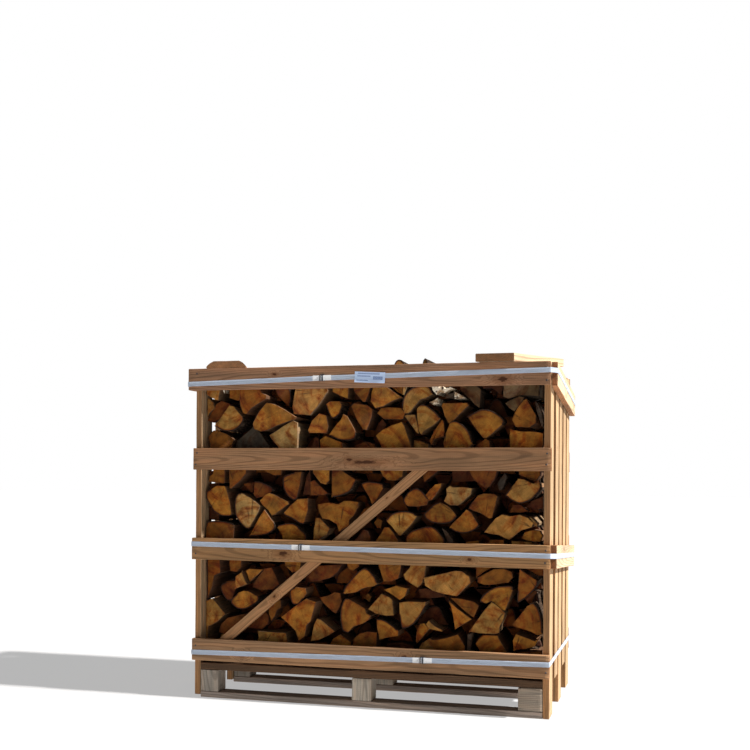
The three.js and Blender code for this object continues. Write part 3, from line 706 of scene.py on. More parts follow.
BAY_MIDDLE = """
ochre 2: -55.4 80, -51.2 80, -51.2 73, -51.8 72.6, -57.2 73.2, -57 75, -55.6 76
honey 1: -55.3 71, -53.5 72, -50.7 71.9, -50 70.5, -48.8 66, -48.2 62.4, -49 61.4; -52 61.6, -54.6 63,
-56 65, -57.4 67.5, -57.3 70
ochre 1.5: -49.7 80, -43 80, -43.2 76, -45.5 73.4, -47.5 71.8, -48.5 70.9, -49.3 71
amber 4: -45.3 72.6, -44.3 71.5, -42 69.2, -41.5 70, -41.3 73.2, -43.5 72.9
amber 2: -34 69.9, -37 68.3, -39.8 67.7, -40.7 69, -40.4 73.6; -38.3 73.4, -35 72.2, -33.4 70.9
honey 1: -38 67, -36 69, -34.5 69.7, -33 69.2, -30 67.8, -27.8 66.8, -27.6 65.9, -30 64.2, -32.5 62.3,
-33.6 61.9, -35 63.8, -37 65.4
pale 0.5: -44.4 69.5, -41 67.8, -37.7 65.3, -38.3 63, -39.8 60.5, -41.5 57.2; -43 57.7, -45 59.5,
-46.6 62, -47 64.8, -46.9 67.3, -45.9 69.2
honey 0.5: -41.8 54.8, -40.8 56.2, -39 59.5, -37.2 62.5, -36 64, -35.2 63, -33.8 61,
-32.3 59.2; -32.4 57.5, -34 56.2, -36.5 55.2
ochre 1.5: -25.5 76.7, -23.2 76.9, -23.8 72, -25 67.5; -26.5 67.3, -28.5 69, -29.8 71.5, -30 74.5,
-28.5 75.8
honey 1: -29.5 63, -27.3 65.3, -24.5 67.7, -20.7 68, -20.7 64, -22.3 59.2; -24 59.5, -26.5 61, -29 62
honey 1: -22 51.5, -29.5 51.5, -30 55.5, -31.7 57.9, -31 58.9; -28 59.6, -25.2 59.3, -23.3 57.6,
-21.2 55.3
ochre 0.5: -46.8 58.5, -47.2 51.5, -57.6 51.5, -57.3 58.5; -56.5 59.7, -52 60, -48 59.3
ochre 3: -38.5 80, -30.8 80, -31 75.6, -33.8 75.5, -37.2 76.9
rust 3: -23.3 69, -22.2 75, -20.8 77.5, -20.3 74, -20.6 69
honey 2: -20 80, -13.5 80, -13.6 74, -15 72.5, -16.8 73, -19.5 76.2
amber 2: -20.5 73.5, -19 74.2, -17 72.2, -14 69.7, -15.5 68.9, -20.5 68.8
ochre 1: -12.5 68.3, -12.6 80, -9 77.3, -4.3 74.4, -4.5 73; -6 70.4, -9.5 68.8
honey 0.3: -17 66, -15.5 66.4, -13 66.7, -10 66.2, -8 67.3, -6 67.4, -3 67, -2.9 65.5, -4.5 62.5,
-6 61, -6.2 59, -9.7 57, -10.5 59.4, -13 60.9, -15.5 61.2, -16.7 63.5
tan 1: -18 61.5, -16.5 61.5, -13 58, -14 56, -17 54.2, -19 52, -18.8 57
ochre 1.5: 5.2 71.5, 3.5 68.5, 1.8 66.4, 1.2 66.3, 0.3 68.5, -1.5 71.2, -2.5 73; -0.5 73.7, 2 73.6, 5 73
honey 2.5: 2.5 80, 12 80, 11.3 75.4, 9 74, 6.3 74.1, 4.5 75.5
ochre 2: -3.5 62, -1.8 64.6, 1 65.7, 0 62.5
ochre 1: 20.5 68, 20 66.2, 17 65.6, 13.5 65.7, 12.2 66.7; 12 68, 13.5 70.3, 15.5 71.5, 17 71.6, 19 70
tan 0.5: 16.8 62.6, 14.7 59.6, 11.3 56, 10.5 56.4, 8 59.3, 6.2 61; 8.3 63.3, 12 64.2, 15 63.8
ochre 3: 1.5 60, 2.7 61.8, 4.5 60.8, 4 58.1, 2.6 58.3
honey 0.5: 2.9 52, 2.9 54.5, 4.5 56.5, 5.8 58.8, 7.3 58.9, 9 57, 10.5 54.5, 10 52
amber 1: -5.5 52, -5.5 53.5, -3.8 55, -1.5 57.8, 0 57.5, 1 55.5, 1.5 52
honey 0.5: 26 52, 13.5 52, 13 56; 14.5 57.5, 17.5 58.8, 20 59.3, 22 59.2, 24 57.7, 26 55
honey 1: 19.3 69.5, 20.7 71.2, 22.5 73, 24.7 73.3, 24.5 72, 22.8 69.5, 21.5 67.8, 20 67.5
pale 0.5: 26.3 71.6, 27.5 72.6, 28.5 72.1, 32 72.2, 34.8 71.8, 34.5 69.8, 32.5 68, 30.5 66.2,
27.5 66.2, 25.5 67.5, 26.4 69.5
amber 1.5: 32 80, 43.5 80, 42 75, 40.2 72.2, 38.6 71.9, 35 74.5
rust 5: 27 79, 27.5 73.5, 36 74, 36 79
rust 3.5: -58 60, -53.8 60, -53.8 65.2, -58 64.6
rust 3.5: -58 68.3, -53.8 68.4, -53.8 73, -58 72.6
rust 3.5: -58 75, -53.5 75, -53.5 77.2, -58 77
grey 2: 42.6 73.3, 43.5 75, 45 76.8, 45.8 75.5, 45 73, 44.2 71.2, 43.2 71.1
tan 0.5: 47.5 72.5, 49.5 75, 51.3 74.8, 54 73.5, 56.3 73.8, 56.5 71.5; 55.2 69.8, 53.2 68, 50 67,
47.5 67.9, 46 69, 45.4 69.8
ochre 2: 49 80, 49.5 76.2, 52.2 74.9, 54.8 74.2, 56.3 76, 56.4 80
honey 0.5: 24.3 67.3, 26.5 66.3, 28.5 64.5, 29.9 62.7; 28.7 61.3, 26.8 60.3, 24 60.2, 21.5 60.6,
19.6 61.8, 19 63.3, 20.3 64.7, 22.5 66.7
honey 0.5: 27.4 59, 28.5 60.6, 30.5 62.5, 33 65, 34.5 64, 36 61.5, 37.2 60; 36 58.6, 33.5 57.4,
31 57.3, 29 57.9
ochre 0.5: 33.6 65.3, 35 67.5, 36.5 69.5, 38.5 70.2, 42 70.1, 43 69.3, 42.3 66, 41.3 62.3, 40.3 62.1,
37.5 63.8, 35 64.5
tan 0.3: 38.6 57.7, 40.5 60.2, 42.5 62.5, 44.5 63.6, 47 63.1, 50 63.6, 52.8 62.6, 54.5 61, 53.8 59.5,
50.5 58.5, 48.2 56.7, 46.8 55.5, 45.5 55.9, 43.5 56.9, 41 57.2
pale 0.5: 52.9 62.9, 53.7 62.8, 55.7 60.7, 55.4 59.7, 54.6 60.4
honey 1: 50.5 56, 51.5 58, 54 58.8, 56.5 58.5, 57.3 57, 56.5 55, 53 55.2
amber 3: 46.3 64.1, 47.5 66.7, 50 66.7, 52.5 64.6, 50 64
rust 3: 52 66, 53.5 68, 57 69.5, 57.2 65.5, 54.8 64.9
ochre 2: 38 52, 40.5 55.4, 44.8 55.5, 45.3 52
tan 2: 47.3 52, 47.2 55.2, 53.5 55, 56 52
amber 3: 18.5 73.5, 21 75.5, 23.5 77.5, 27.5 80, 21 80, 17.5 77
grey 1: 24.8 59, 26.5 58, 28.8 55, 28 52, 26.6 52, 26.4 55
ochre 3: 31 52, 32.5 54.6, 36.5 55, 37.5 52
"""
BAY_HIGH = """
tan 1: -58.8 108, -52 108, -53.3 101, -54.2 101.1, -57.8 103
tan 1.5: -58.6 99, -58 101.7, -57 101.9, -55.5 100.5, -54.8 98.5, -56.5 97, -57.5 95.3, -58.2 96
amber 2: -57.7 94.1, -57.3 95.5, -55.5 98.2, -54.5 100, -52.5 101, -49 99.8, -49.6 98.6, -51.5 96,
-54.3 93.8, -55.5 93.4
birch 1.5: -51.9 107, -51.9 104.4, -51.5 103.5, -51.2 104.6, -51.3 107
ochre 3: -50.1 101.9, -50.2 107, -45.3 107, -45.5 101.3, -47 100.9
tan -0.4: -54.2 92.2, -52 95, -48.7 99.3, -47 98.9, -44.5 96, -43.3 94.8; -43.8 93.3, -45.5 91.4,
-48 90.4, -51 90.6
ochre -0.4: -45 101.5, -44.8 107, -38.5 107, -36.8 103.3, -35 102.4, -35.3 101.2, -38 99.7, -40.5 98.3,
-42.6 96, -43.8 96.5, -44.8 99
honey -1: -24.3 95, -25 94.2, -28 93.2, -31 92.2, -35 90.5, -37 90.2, -39.5 91, -40 93, -37.8 97,
-35.2 99.9, -33.5 99.8, -31 98.9, -27.5 97
grey 2: -47 87.2, -43 90.3, -40.8 92.2, -38.5 90.2, -35 85.8, -34 82, -47.5 82
pale -0.9: -24.2 82, -31 82, -30.8 85, -33.5 88, -34 89, -32.3 90, -29.5 91.8, -27.5 93, -25.5 93.9,
-24.1 93.2, -23.8 90, -23.9 86
ochre 1: -57 88.5, -55.3 90.8, -54 91, -50 89.5, -47.5 87.7, -48.5 85, -49 82, -55.5 82, -56.5 87
amber 3: -28.4 98.6, -30 100, -32.5 102.5, -34.5 107, -29 107; -27.9 104, -27.6 101
tan 0.5: -26.3 98.5, -25 107, -14 107, -14 103.5, -17 99, -20 95.6, -25.7 96
honey 2: -12.8 107, -12.7 103.4, -10 102, -7.3 101, -6.8 107
birch 1: -14 107, -13.7 104.6, -13.2 104.8, -13.3 107
ochre 1: -5.8 107, -5 103.3, -2 99.9, -1 99.9, 0 102.3, 1.5 107
honey 1.5: -14.8 99.3, -13.5 100.3, -10 100.3, -9 98.5; -10 96, -12 94.6, -13.3 95.2, -14.5 98
honey 1: -20.5 89.7, -21 90.7, -19.5 94, -17 96.3, -14.5 95.5, -13.8 92, -14.2 89.6
honey 0.5: -13.5 89, -11.8 91.5, -9.5 94, -8.5 96, -7 95.2, -4.5 90.8, -4 89; -4.8 87.6, -7.5 87.1,
-10.5 87.5
ochre 1: 1.3 95, -0.5 90.5, -1.8 90.8, -4 94, -6 98.5, -5 99.5, -3 99.2, -0.5 99, 1.5 97.5
honey 1: 0.7 100, 1 103, 2 106, 4.6 106, 9.6 102.4, 11.3 101.2, 8 100, 5 98.3, 2.3 97.7
honey 2: 4.8 107, 9.5 102.9, 11.4 102.1, 11.3 107
pale 1: 11.5 107, 11.5 102, 12 101.9, 12.9 104, 13 107
ochre 2: 2.6 96.2, 4 98, 7 98.2, 11 97.8, 12.3 96, 11.5 94.2, 10.5 93.9, 5 94.2
rust 4: 2 90, 2.5 93, 4 94.5, 5.5 92.5, 4.5 90.5
honey 0.3: 2.7 88.8, 5 90.7, 8 92.1, 11.5 93.2, 12.5 91.5, 14.5 86, 14.8 82, 6 82, 4 86.5
tan 0.5: 21.8 102, 19.5 100.8, 17.5 100.2, 14.5 96.5, 13.5 95.8, 12.3 96, 11.5 98; 11.8 100.5,
13.5 103.3, 16.5 104.8, 20.5 104.6
pale 1.5: 12 95.2, 13 95.6, 15.7 95.6, 17 91, 17 89.3, 16 89.8, 14.3 92.2
tan 0.7: 24.3 94.2, 22 92, 19 90.2, 18 89, 17.2 89.8, 16.5 94, 16.3 97.5, 17.5 98.8; 19.5 98.6,
22.5 96.4
tan 2: 15.3 87.3, 17 87.3, 20 86, 20.5 82, 15 82
amber 2: -5.5 82, -4.5 85.8, -1 87, 2 86, 3 82
honey 1: -16.8 87.5, -14.8 88.9, -9 86.6, -8 82, -16.5 82
rust 2: -20.5 82, -20 85.5, -18.6 88.5, -17.3 88, -17 82
ochre 1: 24.5 98.3, 25 99.2, 33 99.2, 33.5 98.3, 30 95, 27.5 92.6, 26.8 92.5, 25.5 95
ochre 2: 20.3 87, 22 90.5, 24.5 94, 25.2 93, 25.5 90, 25.3 88.5, 22 87.5, 21 85.5
honey 0.5: 34.9 86, 32.5 84, 26 83, 25.2 86, 26 89.5, 27.6 93.2; 29.5 93.3, 31.8 92, 33.8 89.6
honey 0.5: 44.3 92, 41 89, 39.2 87.7, 38.2 87.8, 36 90.5, 33 94.8; 35.5 96.2, 38 97.1, 41 96.5,
43.5 95, 45 93.2
birch -1.2: 20.8 107, 22 103.2, 23.3 101.7, 24.2 102.6, 26 102.2, 27.2 103.1, 29 103.6, 27.6 104.3,
26.2 103.7, 25.2 104.6, 24.2 104, 23.6 107
birch -1: 29 102.8, 31 101.8, 32.5 100.6, 29.2 100.3
birch -0.5: 20.7 99.4, 22.2 100, 23.5 100.8, 23.8 99, 22 98.5
grey 2: 25.5 102.2, 28.5 102.5, 28.5 100.5, 25.5 100.8
dusk 3: 29.5 107, 33 107, 37 103.5, 36.8 100, 36.6 97.5, 35 98.5, 33.2 100.6, 30.5 103
dusk 2: 44.5 107, 44.3 101, 46 100.3, 50 101.3, 55.7 101, 56 107
dusk 1: 45.2 98.8, 46 99.5, 49.5 101.1, 51.2 100.7, 50 98.3, 48.2 96.2, 46.5 97.2
ochre 1: 49 97.3, 51 100, 52 100.2, 53.5 97.5, 55 95, 55 92.5, 53 91, 48.5 91.3, 47.3 93.5, 48 95.5
grey 1: 54.5 99.5, 55.6 98.7, 57 95.5, 57.4 92, 56.8 91, 56 93.5, 55 96.5
honey 0.7: 46.7 90.7, 50 90, 54 89.9, 57.2 89.3, 57.3 86, 56 82, 47 82, 46.6 88
ochre 1: 34.5 82, 36.5 86, 38.9 87.7, 40.2 87, 40.8 82
rust 3: 38 107, 37.5 103.8, 40.5 103.9, 43.5 101.8, 44.2 103.8, 44 107
rust 4: 41.5 82, 42 85, 45.5 85, 46 82
"""
BUMPS = """
tan 1.5: 7.9 107, 12.4 107; 12.2 111.2, 11.4 113.2, 10 113.7, 8.8 112.8, 8.1 110.5
tan 1.5: 17.3 107, 17.4 110, 18.2 113.2; 18.8 113.9, 19.5 113.5, 20.1 111.5, 20.6 108.5
ochre 2: 39 107, 47.2 107; 47 109.6, 45.4 111.2, 42.6 111.4, 40 110.4
tan 3: 48 107, 56 107, 53.9 109.8, 51.6 111.4, 50 111.3
ochre 2: -56.5 107, -48.5 107; -48.4 109.6, -50.2 111.3, -53.5 111.4, -55.8 110
"""


def row_of_logs(name, node, bays, back_row):
    """The logs of one row, a mesh for each bay; the back row is the same kind of stack, turned round."""
    for bay, logs in bays.items():
        piece = Piece(END, SPLIT, BARK, BIRCH)
        for kind, depth, corners, bark_points in logs:
            front = 0.022 + depth + rng.uniform(-0.001, 0.002)
            back = LOG_BACK + rng.uniform(-0.006, 0.003)
            if back_row:
                corners = [(-x, z) for x, z in corners]
                bark_points = [(-x, z) for x, z in bark_points]
                front, back = WALL_DEPTH - back, WALL_DEPTH - front
            log(piece, kind, corners, bark_points, front, back, rng.uniform(0, 90))
        piece.make(f"{name}_{bay}", "log_wood", node, sharp=50.0)


COURSE_KINDS = ("tan", "honey", "ochre", "ochre", "amber", "birch", "grey", "dusk")


def filler_logs(low, high, left=-0.57, right=0.57, depth=0.5, kinds=COURSE_KINDS):
    """A course of triangular and flat-bottomed logs between two heights, side by side."""
    x = left
    turn = False
    while x < right - 0.03:
        width = min(rng.uniform(0.065, 0.105), right - x)
        top = high - rng.uniform(0.0, 0.012)
        kind = rng.choice(kinds)
        peak = x + width * rng.uniform(0.35, 0.65)
        if turn:
            corners = [(x + 0.004, top), (peak, low + 0.002), (x + width - 0.002, top)]
            bark_points = [(x + width * 0.7, top + 0.006), (x + width * 0.3, top + 0.006)]
        else:
            corners = [(x, low + 0.001), (x + width, low + 0.001), (x + width * 0.86, (low + top) / 2)]
            bark_points = [(peak + width * 0.14, top), (peak - width * 0.14, top),
                           (x + 0.002, (low + top) / 2)]
        yield kind, depth / 100 + rng.uniform(0, 0.03), corners, bark_points
        x += width * (0.62 if turn else 0.94)
        turn = not turn


bays = {"low": BAY_LOW, "middle": BAY_MIDDLE, "high": BAY_HIGH}
front_bays = {bay: list(read_logs(text)) for bay, text in bays.items()}
front_bays["high"] += list(read_logs(BUMPS))
front_bays["cover"] = [
    *filler_logs(0.475, 0.535, left=-0.25, depth=3), *filler_logs(0.775, 0.835, left=-0.34, depth=3),
    *filler_logs(1.045, 1.082, left=-0.34, depth=3),
]
for low, high, right in ((0.475, 0.535, -0.26), (0.775, 0.835, -0.35), (1.045, 1.082, -0.35)):
    front_bays["cover"] += [(kind, -0.019, corners, bark_points)     # pressed against the rail
                            for kind, _, corners, bark_points in filler_logs(low, high, right=right)]
row_of_logs("front_logs", "log_stack_front", front_bays, False)


def deep_logs(name, node, left, right, front):
    """The logs that are only glimpsed in the gaps, behind the ends of the outer ones."""
    piece = Piece(END, SPLIT, BARK, BIRCH)
    low = 0.142
    while low < 1.02:
        course = filler_logs(low, low + 0.064, left, right, kinds=("amber", "rust"))
        for kind, _, corners, bark_points in course:
            start = front + rng.uniform(0.0, 0.05)
            log(piece, kind, corners, bark_points, start, front + 0.19, rng.uniform(0, 90),
                0.018, (0.0, 0.02, 0.3, 0.7, 0.98, 1.0))
        low += 0.062
    piece.make(name, "log_wood", node, sharp=50.0)


deep_logs("deep_front_logs", "log_stack_front", -0.49, 0.56, 0.10)
deep_logs("deep_back_logs", "log_stack_back", -0.50, 0.56, 0.33)
back_bays = {bay: logs for bay, logs in front_bays.items() if bay != "cover"}
back_bays["cover"] = [
    *filler_logs(0.475, 0.535, depth=3), *filler_logs(0.775, 0.835, depth=3),
    *filler_logs(1.045, 1.084, depth=1),
]
row_of_logs("back_logs", "log_stack_back", back_bays, True)


# ---- the two offcuts on the top -----------------------------------------------------------------
SLAB_TONE, PLANK_TONE, PLANK_END_TONE = (0.64, 0.39, 0.21), (0.68, 0.52, 0.35), (0.42, 0.26, 0.14)
SLAB_SKEW, PLANK_SHEAR = 0.35, 0.132         # sideways run per metre of depth; run over the whole depth


def waney_slab(node, skew):
    """A slab from the outside of a trunk: sawn below, bark on both sloping sides."""
    (x0, y0, z0), (x1, y1, z1) = (tuple(v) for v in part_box(node))
    x0 += skew * (y1 - y0)
    tall = (z1 - z0) / 0.0275
    piece = Piece(SAWN, SAWN_END, BARK)
    middle = (x0 + x1) / 2
    section = [(x0 + 0.002, 0), (x0 + 0.05, 0), (middle, 0), (x1 - 0.05, 0), (x1 - 0.002, 0)]
    right_side = [(x1 - 0.0005, 0.004), (x1 - 0.006, 0.011), (x1 - 0.014, 0.019), (x1 - 0.024, 0.025)]
    left_side = [(x0 + 0.024, 0.025), (x0 + 0.013, 0.019), (x0 + 0.006, 0.011), (x0 + 0.0005, 0.004)]
    top = [(x1 - 0.028, 0.0265), (x1 - 0.05, 0.0268), (middle, 0.0265),
           (x0 + 0.05, 0.0268), (x0 + 0.028, 0.0265)]
    section += right_side + top + left_side
    slots = [2 if min(x - x0, x1 - x) < 0.026 and h > 0.001 else 0 for x, h in section]
    rings = []
    stations = [y0 + 0.0008] + [y0 + (y1 - y0) * k / 22 for k in range(1, 22)] + [y1 - 0.0008]
    for y in stations:
        ring = []
        for x, h in section:
            edge = 0.0035 * wobble(x * 6, y * 11, h * 40, 4.0) if min(x - x0, x1 - x) < 0.03 else 0.0
            spot_x = x - math.copysign(0.002 + abs(edge), x - middle)
            spot = (spot_x - skew * (y - y0), y,
                    z0 + 0.0002 + h * tall * (0.97 + 0.02 * wobble(x * 20, y * 6, 0, 8.0)))
            ring.append(piece.point(spot, (x - middle, y, h + 0.05), SLAB_TONE))
        rings.append(ring)
    for a, b in zip(rings, rings[1:]):
        piece.ring(a, b, slots)
    piece.face(tuple(rings[0]), 1)
    piece.face(tuple(rings[-1][::-1]), 1)
    piece.make(node + "_sawn", "offcut_wood", node)


def skewed_plank(node, shear):
    """A short board lying askew: its ends are parallel to the front, its sides run off to the right."""
    (x0, y0, z0), (x1, y1, z1) = (tuple(v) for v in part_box(node))
    width, thick = x1 - x0 - shear, z1 - z0
    piece = Piece(SAWN, SAWN_END)
    section = [(-t, w) for w, t in rounded_section(width, thick, 0.0018)]
    rings = []
    stations = [0.0, 0.006] + [k / 18 for k in range(1, 18)] + [0.994, 1.0]
    for share in stations:
        ring = []
        for drop, w in section:
            trim = 0.0008 if share in (0.0, 1.0) else 0.0
            w2 = w * (1 - trim * 8) - math.copysign(0.0008 + 0.0006 * wobble(share * 5, w * 9, 0, 2.0), w)
            spot = (x0 + width / 2 + w2 + shear * share, y0 + 0.0006 + (y1 - y0 - 0.0012) * share,
                    (z0 + z1) / 2 - drop * (0.97 - trim * 20))
            knots = ((share * 0.25 - 0.03, w - 0.02, 0.007), FAR_KNOT)
            grain = (w + 0.01, share * 0.25, drop + 0.03)
            tone = PLANK_END_TONE if share in (0.0, 1.0) else PLANK_TONE
            ring.append(piece.point(spot, grain, tone, 0.0, knots))
        rings.append(ring)
    for a, b in zip(rings, rings[1:]):
        piece.ring(a[::-1], b[::-1], 0)
    piece.face(tuple(rings[0][::-1]), 1)
    piece.face(tuple(rings[-1]), 1)
    piece.make(node + "_sawn", "offcut_wood", node)


waney_slab("offcut_slab_left", SLAB_SKEW)
skewed_plank("offcut_plank_right", PLANK_SHEAR)

# ---- straps, buckles and label ------------------------------------------------------------------
SEAM, STRAP_THICK, STRAP_WIDTH = 0.0003, 0.001, 0.016
# each strap's corners: x, y from the front edges of the walls, height of its middle
STRAPS = {
    "top": [(-0.6203, RAIL_Y, 1.0625), (-0.142, RAIL_Y, 1.0748), (0.600, RAIL_Y, 1.0875),
            (SIDE_FACE, 0.0003, 1.086),
            (SIDE_FACE, 0.620, 1.024), (0.600, BACK_Y, 1.050), (-0.6203, BACK_Y, 1.060)],
    "middle": [(-0.6045, RAIL_Y, 0.522), (0.6025, RAIL_Y, 0.510), (SIDE_FACE, 0.0003, 0.509),
               (SIDE_FACE, 0.620, 0.472), (0.600, BACK_Y, 0.490), (-0.600, BACK_Y, 0.505),
               (-SIDE_FACE, 0.620, 0.505), (-SIDE_FACE, 0.050, 0.518)],
    "bottom": [(-0.6025, RAIL_Y, 0.1555), (0.601, RAIL_Y, 0.1735), (0.601, BACK_Y, 0.168),
               (-0.6025, BACK_Y, 0.156)],
}
BUCKLES = {"top": (-0.142, 1.0748), "middle": (-0.212, 0.5181), "bottom": (0.200, 0.1675)}


def band(piece, path, outwards, rise, width, thick, closed, seed, slot=0):
    """A flat band along a path: its inner face lies rise away from the path, to the outer side."""
    columns = 9
    rings = []
    along = 0.0
    for i, (spot, out) in enumerate(zip(path, outwards)):
        if i:
            along += (spot - path[i - 1]).length
        ring = []
        for face in (0, 1):
            for k in range(columns):
                share = (k if face == 0 else columns - 1 - k) / (columns - 1) - 0.5
                edge = 0.0004 * wobble(along * 30, share * 3, face, seed)
                height = (thick if face == 0 else 0.0) * (1 - 0.5 * (2 * abs(share)) ** 6)
                height += rise + 0.00012 * wobble(along * 60, share * 9, face, seed)
                place = spot + out * height + Vector((0, 0, share * (width - 2 * abs(edge)) + edge))
                ring.append(piece.point(place, (share * width, along, 0.0)))
        rings.append(ring)
    pairs = list(zip(rings, rings[1:])) + ([(rings[-1], rings[0])] if closed else [])
    for a, b in pairs:
        piece.ring(a, b, slot)
    if not closed:
        piece.face(tuple(rings[0][::-1]), slot)
        piece.face(tuple(rings[-1]), slot)


def strap(name, corners, seed):
    spots = [Vector((x, y - DEPTH_SHIFT, z)) for x, y, z in corners]
    count = len(spots)
    normals = []
    for i in range(count):
        run = spots[(i + 1) % count] - spots[i]
        normals.append(Vector((run.y, -run.x, 0)).normalized())
    path, outwards = [], []
    for i in range(count):
        a, b = spots[i], spots[(i + 1) % count]
        for k in range(5):                       # the fold round the corner before this run
            out = normals[i - 1].lerp(normals[i], k / 4).normalized()
            path.append(a.copy())
            outwards.append(out)
        length = (b - a).length
        steps = max(2, round(length / 0.016))
        for k in range(1, steps):
            path.append(a.lerp(b, k / steps))
            outwards.append(normals[i])
    piece = Piece(STRAP, STRAP_END_PAINTED_SUNLIT)
    band(piece, path, outwards, SEAM, STRAP_WIDTH, STRAP_THICK, True, seed)
    x, z = BUCKLES[name]
    slope = (corners[1][2] - corners[0][2]) / (corners[1][0] - corners[0][0])
    front = Vector((0, -1, 0))
    for turn, reach in ((-1, 0.032), (1, 0.030)):    # the doubled ends beside the buckle
        tail, faces = [], []
        for k in range(9):
            off = turn * (0.004 + (reach - 0.004) * k / 8)
            lift = 0.0006 + 0.0030 * (k / 8 if turn < 0 else 1 - k / 8)
            tail.append(Vector((x + off, RAIL_Y - DEPTH_SHIFT - lift, z + off * slope)))
            faces.append(front)
        if turn < 0:
            tail.reverse()
        # the doubled ends take the brighter copy of the strap material, painted sunlight
        band(piece, tail, faces, SEAM + STRAP_THICK, STRAP_WIDTH + 0.0012, 0.0009, False, seed + turn, 1)
    piece.make(f"strap_{name}_woven", "strap_weave", f"strap_{name}", sharp=60.0)


def tube(piece, path, radius, sides=10):
    """A round wire along a path of points, capped at both ends."""
    rings = []
    up = Vector((0, 1, 0))
    for i, spot in enumerate(path):
        ahead = (path[min(i + 1, len(path) - 1)] - path[max(i - 1, 0)]).normalized()
        side = ahead.cross(up).normalized()
        over = side.cross(ahead)
        rings.append([piece.point(spot + (side * math.cos(a) + over * math.sin(a)) * radius, (0, 0, 0))
                      for a in (2 * math.pi * k / sides for k in range(sides))])
    for a, b in zip(rings, rings[1:]):
        piece.ring(a, b, 0)
    piece.face(tuple(rings[0][::-1]))
    piece.face(tuple(rings[-1]))


def buckle(name):
    """A buckle bent from one wire: two outer legs joined over the top, and a middle leg."""
    x, z = BUCKLES[name]
    y = RAIL_Y - DEPTH_SHIFT - SEAM - STRAP_THICK - SEAM - 0.0019
    wide, tall, bend = 0.0078, 0.0108, 0.0035
    piece = Piece(WIRE)
    loop = [(-wide, -tall), (-wide, 0.0), (-wide, tall - bend)]
    loop += [(-wide + bend - bend * math.cos(a), tall - bend + bend * math.sin(a))
             for a in (0.4, 0.8, 1.2, 1.57)]
    loop += [(0.0, tall)]
    loop += [(wide - bend + bend * math.sin(a), tall - bend + bend * math.cos(a))
             for a in (0.0, 0.4, 0.8, 1.2, 1.57)]
    loop += [(wide, 0.0), (wide, -tall)]
    tube(piece, [Vector((x + a, y, z + b)) for a, b in loop], 0.0016)
    middle_leg = [(0.0, tall), (0.0, 0.004), (0.0, -0.004), (0.0, -tall - 0.0005)]
    tube(piece, [Vector((x + a, y - 0.0003, z + b)) for a, b in middle_leg], 0.0016)
    piece.make(f"buckle_{name}_wire", "buckle_wire", f"buckle_{name}")


def label():
    """A small film label over the top strap, a little curled and tilted."""
    piece = Piece(LABEL)
    tilt = math.radians(3)
    middle_x, middle_z, width, height = 0.020, 1.074, 0.102, 0.035
    columns, rows = 26, 10
    y = RAIL_Y - DEPTH_SHIFT - SEAM * 2 - STRAP_THICK - 0.0004
    sheets = []
    for face in (0, 1):
        grid = []
        for j in range(rows + 1):
            line = []
            for i in range(columns + 1):
                u, v = i / columns, j / rows
                a, b = (u - 0.5) * width, (v - 0.5) * height
                curl = 0.0016 * (2 * abs(v - 0.5)) ** 2 + 0.0010 * (2 * abs(u - 0.5)) ** 4
                curl += 0.0004 * wobble(u * 5, v * 3, 0, 1.0)
                spot = (middle_x + a * math.cos(tilt) + b * math.sin(tilt), y - curl - 0.0003 * (1 - face),
                        middle_z - a * math.sin(tilt) + b * math.cos(tilt))
                line.append(piece.point(spot, (u, v, 0)))
            grid.append(line)
        sheets.append(grid)
    for face, grid in enumerate(sheets):
        for a, b in zip(grid, grid[1:]):
            for i in range(columns):
                corners = (a[i], a[i + 1], b[i + 1], b[i])
                piece.face(corners if face == 0 else corners[::-1])
    rim = [[g[0][i] for i in range(columns + 1)] + [g[j][-1] for j in range(1, rows + 1)]
           + [g[-1][i] for i in range(columns - 1, -1, -1)] + [g[j][0] for j in range(rows - 1, 0, -1)]
           for g in sheets]
    piece.ring(rim[1], rim[0], 0)
    piece.make("label_sheet", "label_paper", "label", sharp=60.0)


for number, (name, corners) in enumerate(STRAPS.items()):
    strap(name, corners, 3.0 + number)
    buckle(name)
label()


# ---- nails: two where each rail crosses a side wall ----------------------------------------------
RAIL_BOTTOMS, RAIL_HEIGHT = (1.0415, 0.7725, 0.469, 0.128), 0.074
WALL_MIDDLE = 0.589          # middle of a side wall's thickness


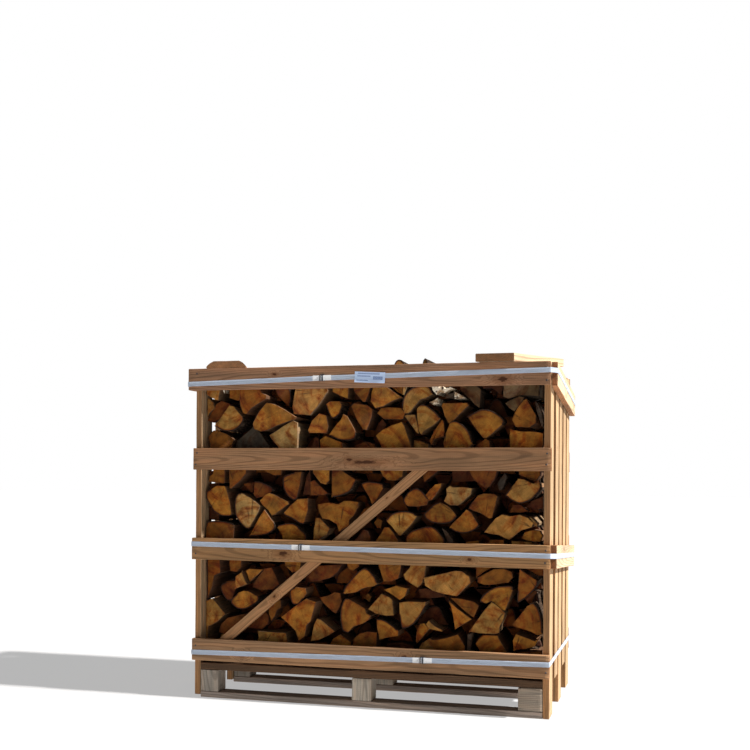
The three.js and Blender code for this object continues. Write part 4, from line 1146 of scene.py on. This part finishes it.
def nails():
    piece = Piece(NAIL)
    places = []
    for bottom in RAIL_BOTTOMS:
        for x in (-WALL_MIDDLE, WALL_MIDDLE):
            for share in (0.24, 0.72):
                spot = (x + rng.uniform(-0.003, 0.003),
                        bottom + RAIL_HEIGHT * (share + rng.uniform(-0.06, 0.06)))
                places.append((Vector((spot[0], RAIL_Y - DEPTH_SHIFT, spot[1])), Vector((0, -1, 0))))
                places.append((Vector((-spot[0], BACK_Y - DEPTH_SHIFT, spot[1])), Vector((0, 1, 0))))
    for spot, out in places:
        side = Vector((out.y, -out.x, 0))
        rings = []
        for radius, lift in ((0.0031, -0.0006), (0.0031, -0.00005), (0.0027, 0.00035), (0.0014, 0.0004)):
            turns = [2 * math.pi * k / 12 for k in range(12)]
            around = [side * math.cos(a) + Vector((0, 0, math.sin(a))) for a in turns]
            rings.append([piece.point(spot + out * lift + way * radius, (0, 0, 0)) for way in around])
        for a, b in zip(rings, rings[1:]):
            piece.ring(b, a, 0)
        piece.face(tuple(rings[-1]))
        piece.face(tuple(rings[0][::-1]))
    piece.make("nail_heads", "buckle_wire")


nails()

# ---- floor, world and light ---------------------------------------------------------------------
floor_mesh = bpy.data.meshes.new("floor")
floor_mesh.from_pydata([(-40, -40, 0), (40, -40, 0), (40, 40, 0), (-40, 40, 0)], [], [(0, 1, 2, 3)])
floor_shader = Shader("pale_floor", roughness=0.9, specular=0.1)
floor_shader.surface.inputs["Base Color"].default_value = (0.35, 0.35, 0.355, 1)
floor_shader.surface.inputs["Emission Color"].default_value = (1.0, 1.0, 1.0, 1)
floor_shader.surface.inputs["Emission Strength"].default_value = 0.42      # a faintly lit studio floor
floor_mesh.materials.append(floor_shader.material)
floor = bpy.data.objects.new("floor", floor_mesh)
bpy.context.scene.collection.objects.link(floor)

world = bpy.data.worlds.new("studio")
world.use_nodes = True
sky = world.node_tree.nodes["Background"]
sky.inputs["Color"].default_value = (1.0, 1.0, 1.0, 1)
seen = world.node_tree.nodes.new("ShaderNodeLightPath")
strength = world.node_tree.nodes.new("ShaderNodeMapRange")
LIT_BY_SKY, SKY_AS_SEEN = 0.145, 1.0
strength.inputs["To Min"].default_value, strength.inputs["To Max"].default_value = LIT_BY_SKY, SKY_AS_SEEN
world.node_tree.links.new(seen.outputs["Is Camera Ray"], strength.inputs["Value"])
world.node_tree.links.new(strength.outputs[0], sky.inputs["Strength"])
bpy.context.scene.world = world
bpy.context.scene.view_settings.view_transform = "Standard"


SUN_DIRECTION = Vector((-7.2, 0.06, -6.9))      # from the right, along the front
sun_data = bpy.data.lights.new("key", "SUN")
sun_data.energy, sun_data.color, sun_data.angle = 8.0, (1.0, 0.97, 0.93), math.radians(2.5)
sun = bpy.data.objects.new("key", sun_data)
sun.location = (7.2, -0.06, 7.4)
sun.rotation_euler = SUN_DIRECTION.to_track_quat("-Z", "Y").to_euler()
bpy.context.scene.collection.objects.link(sun)
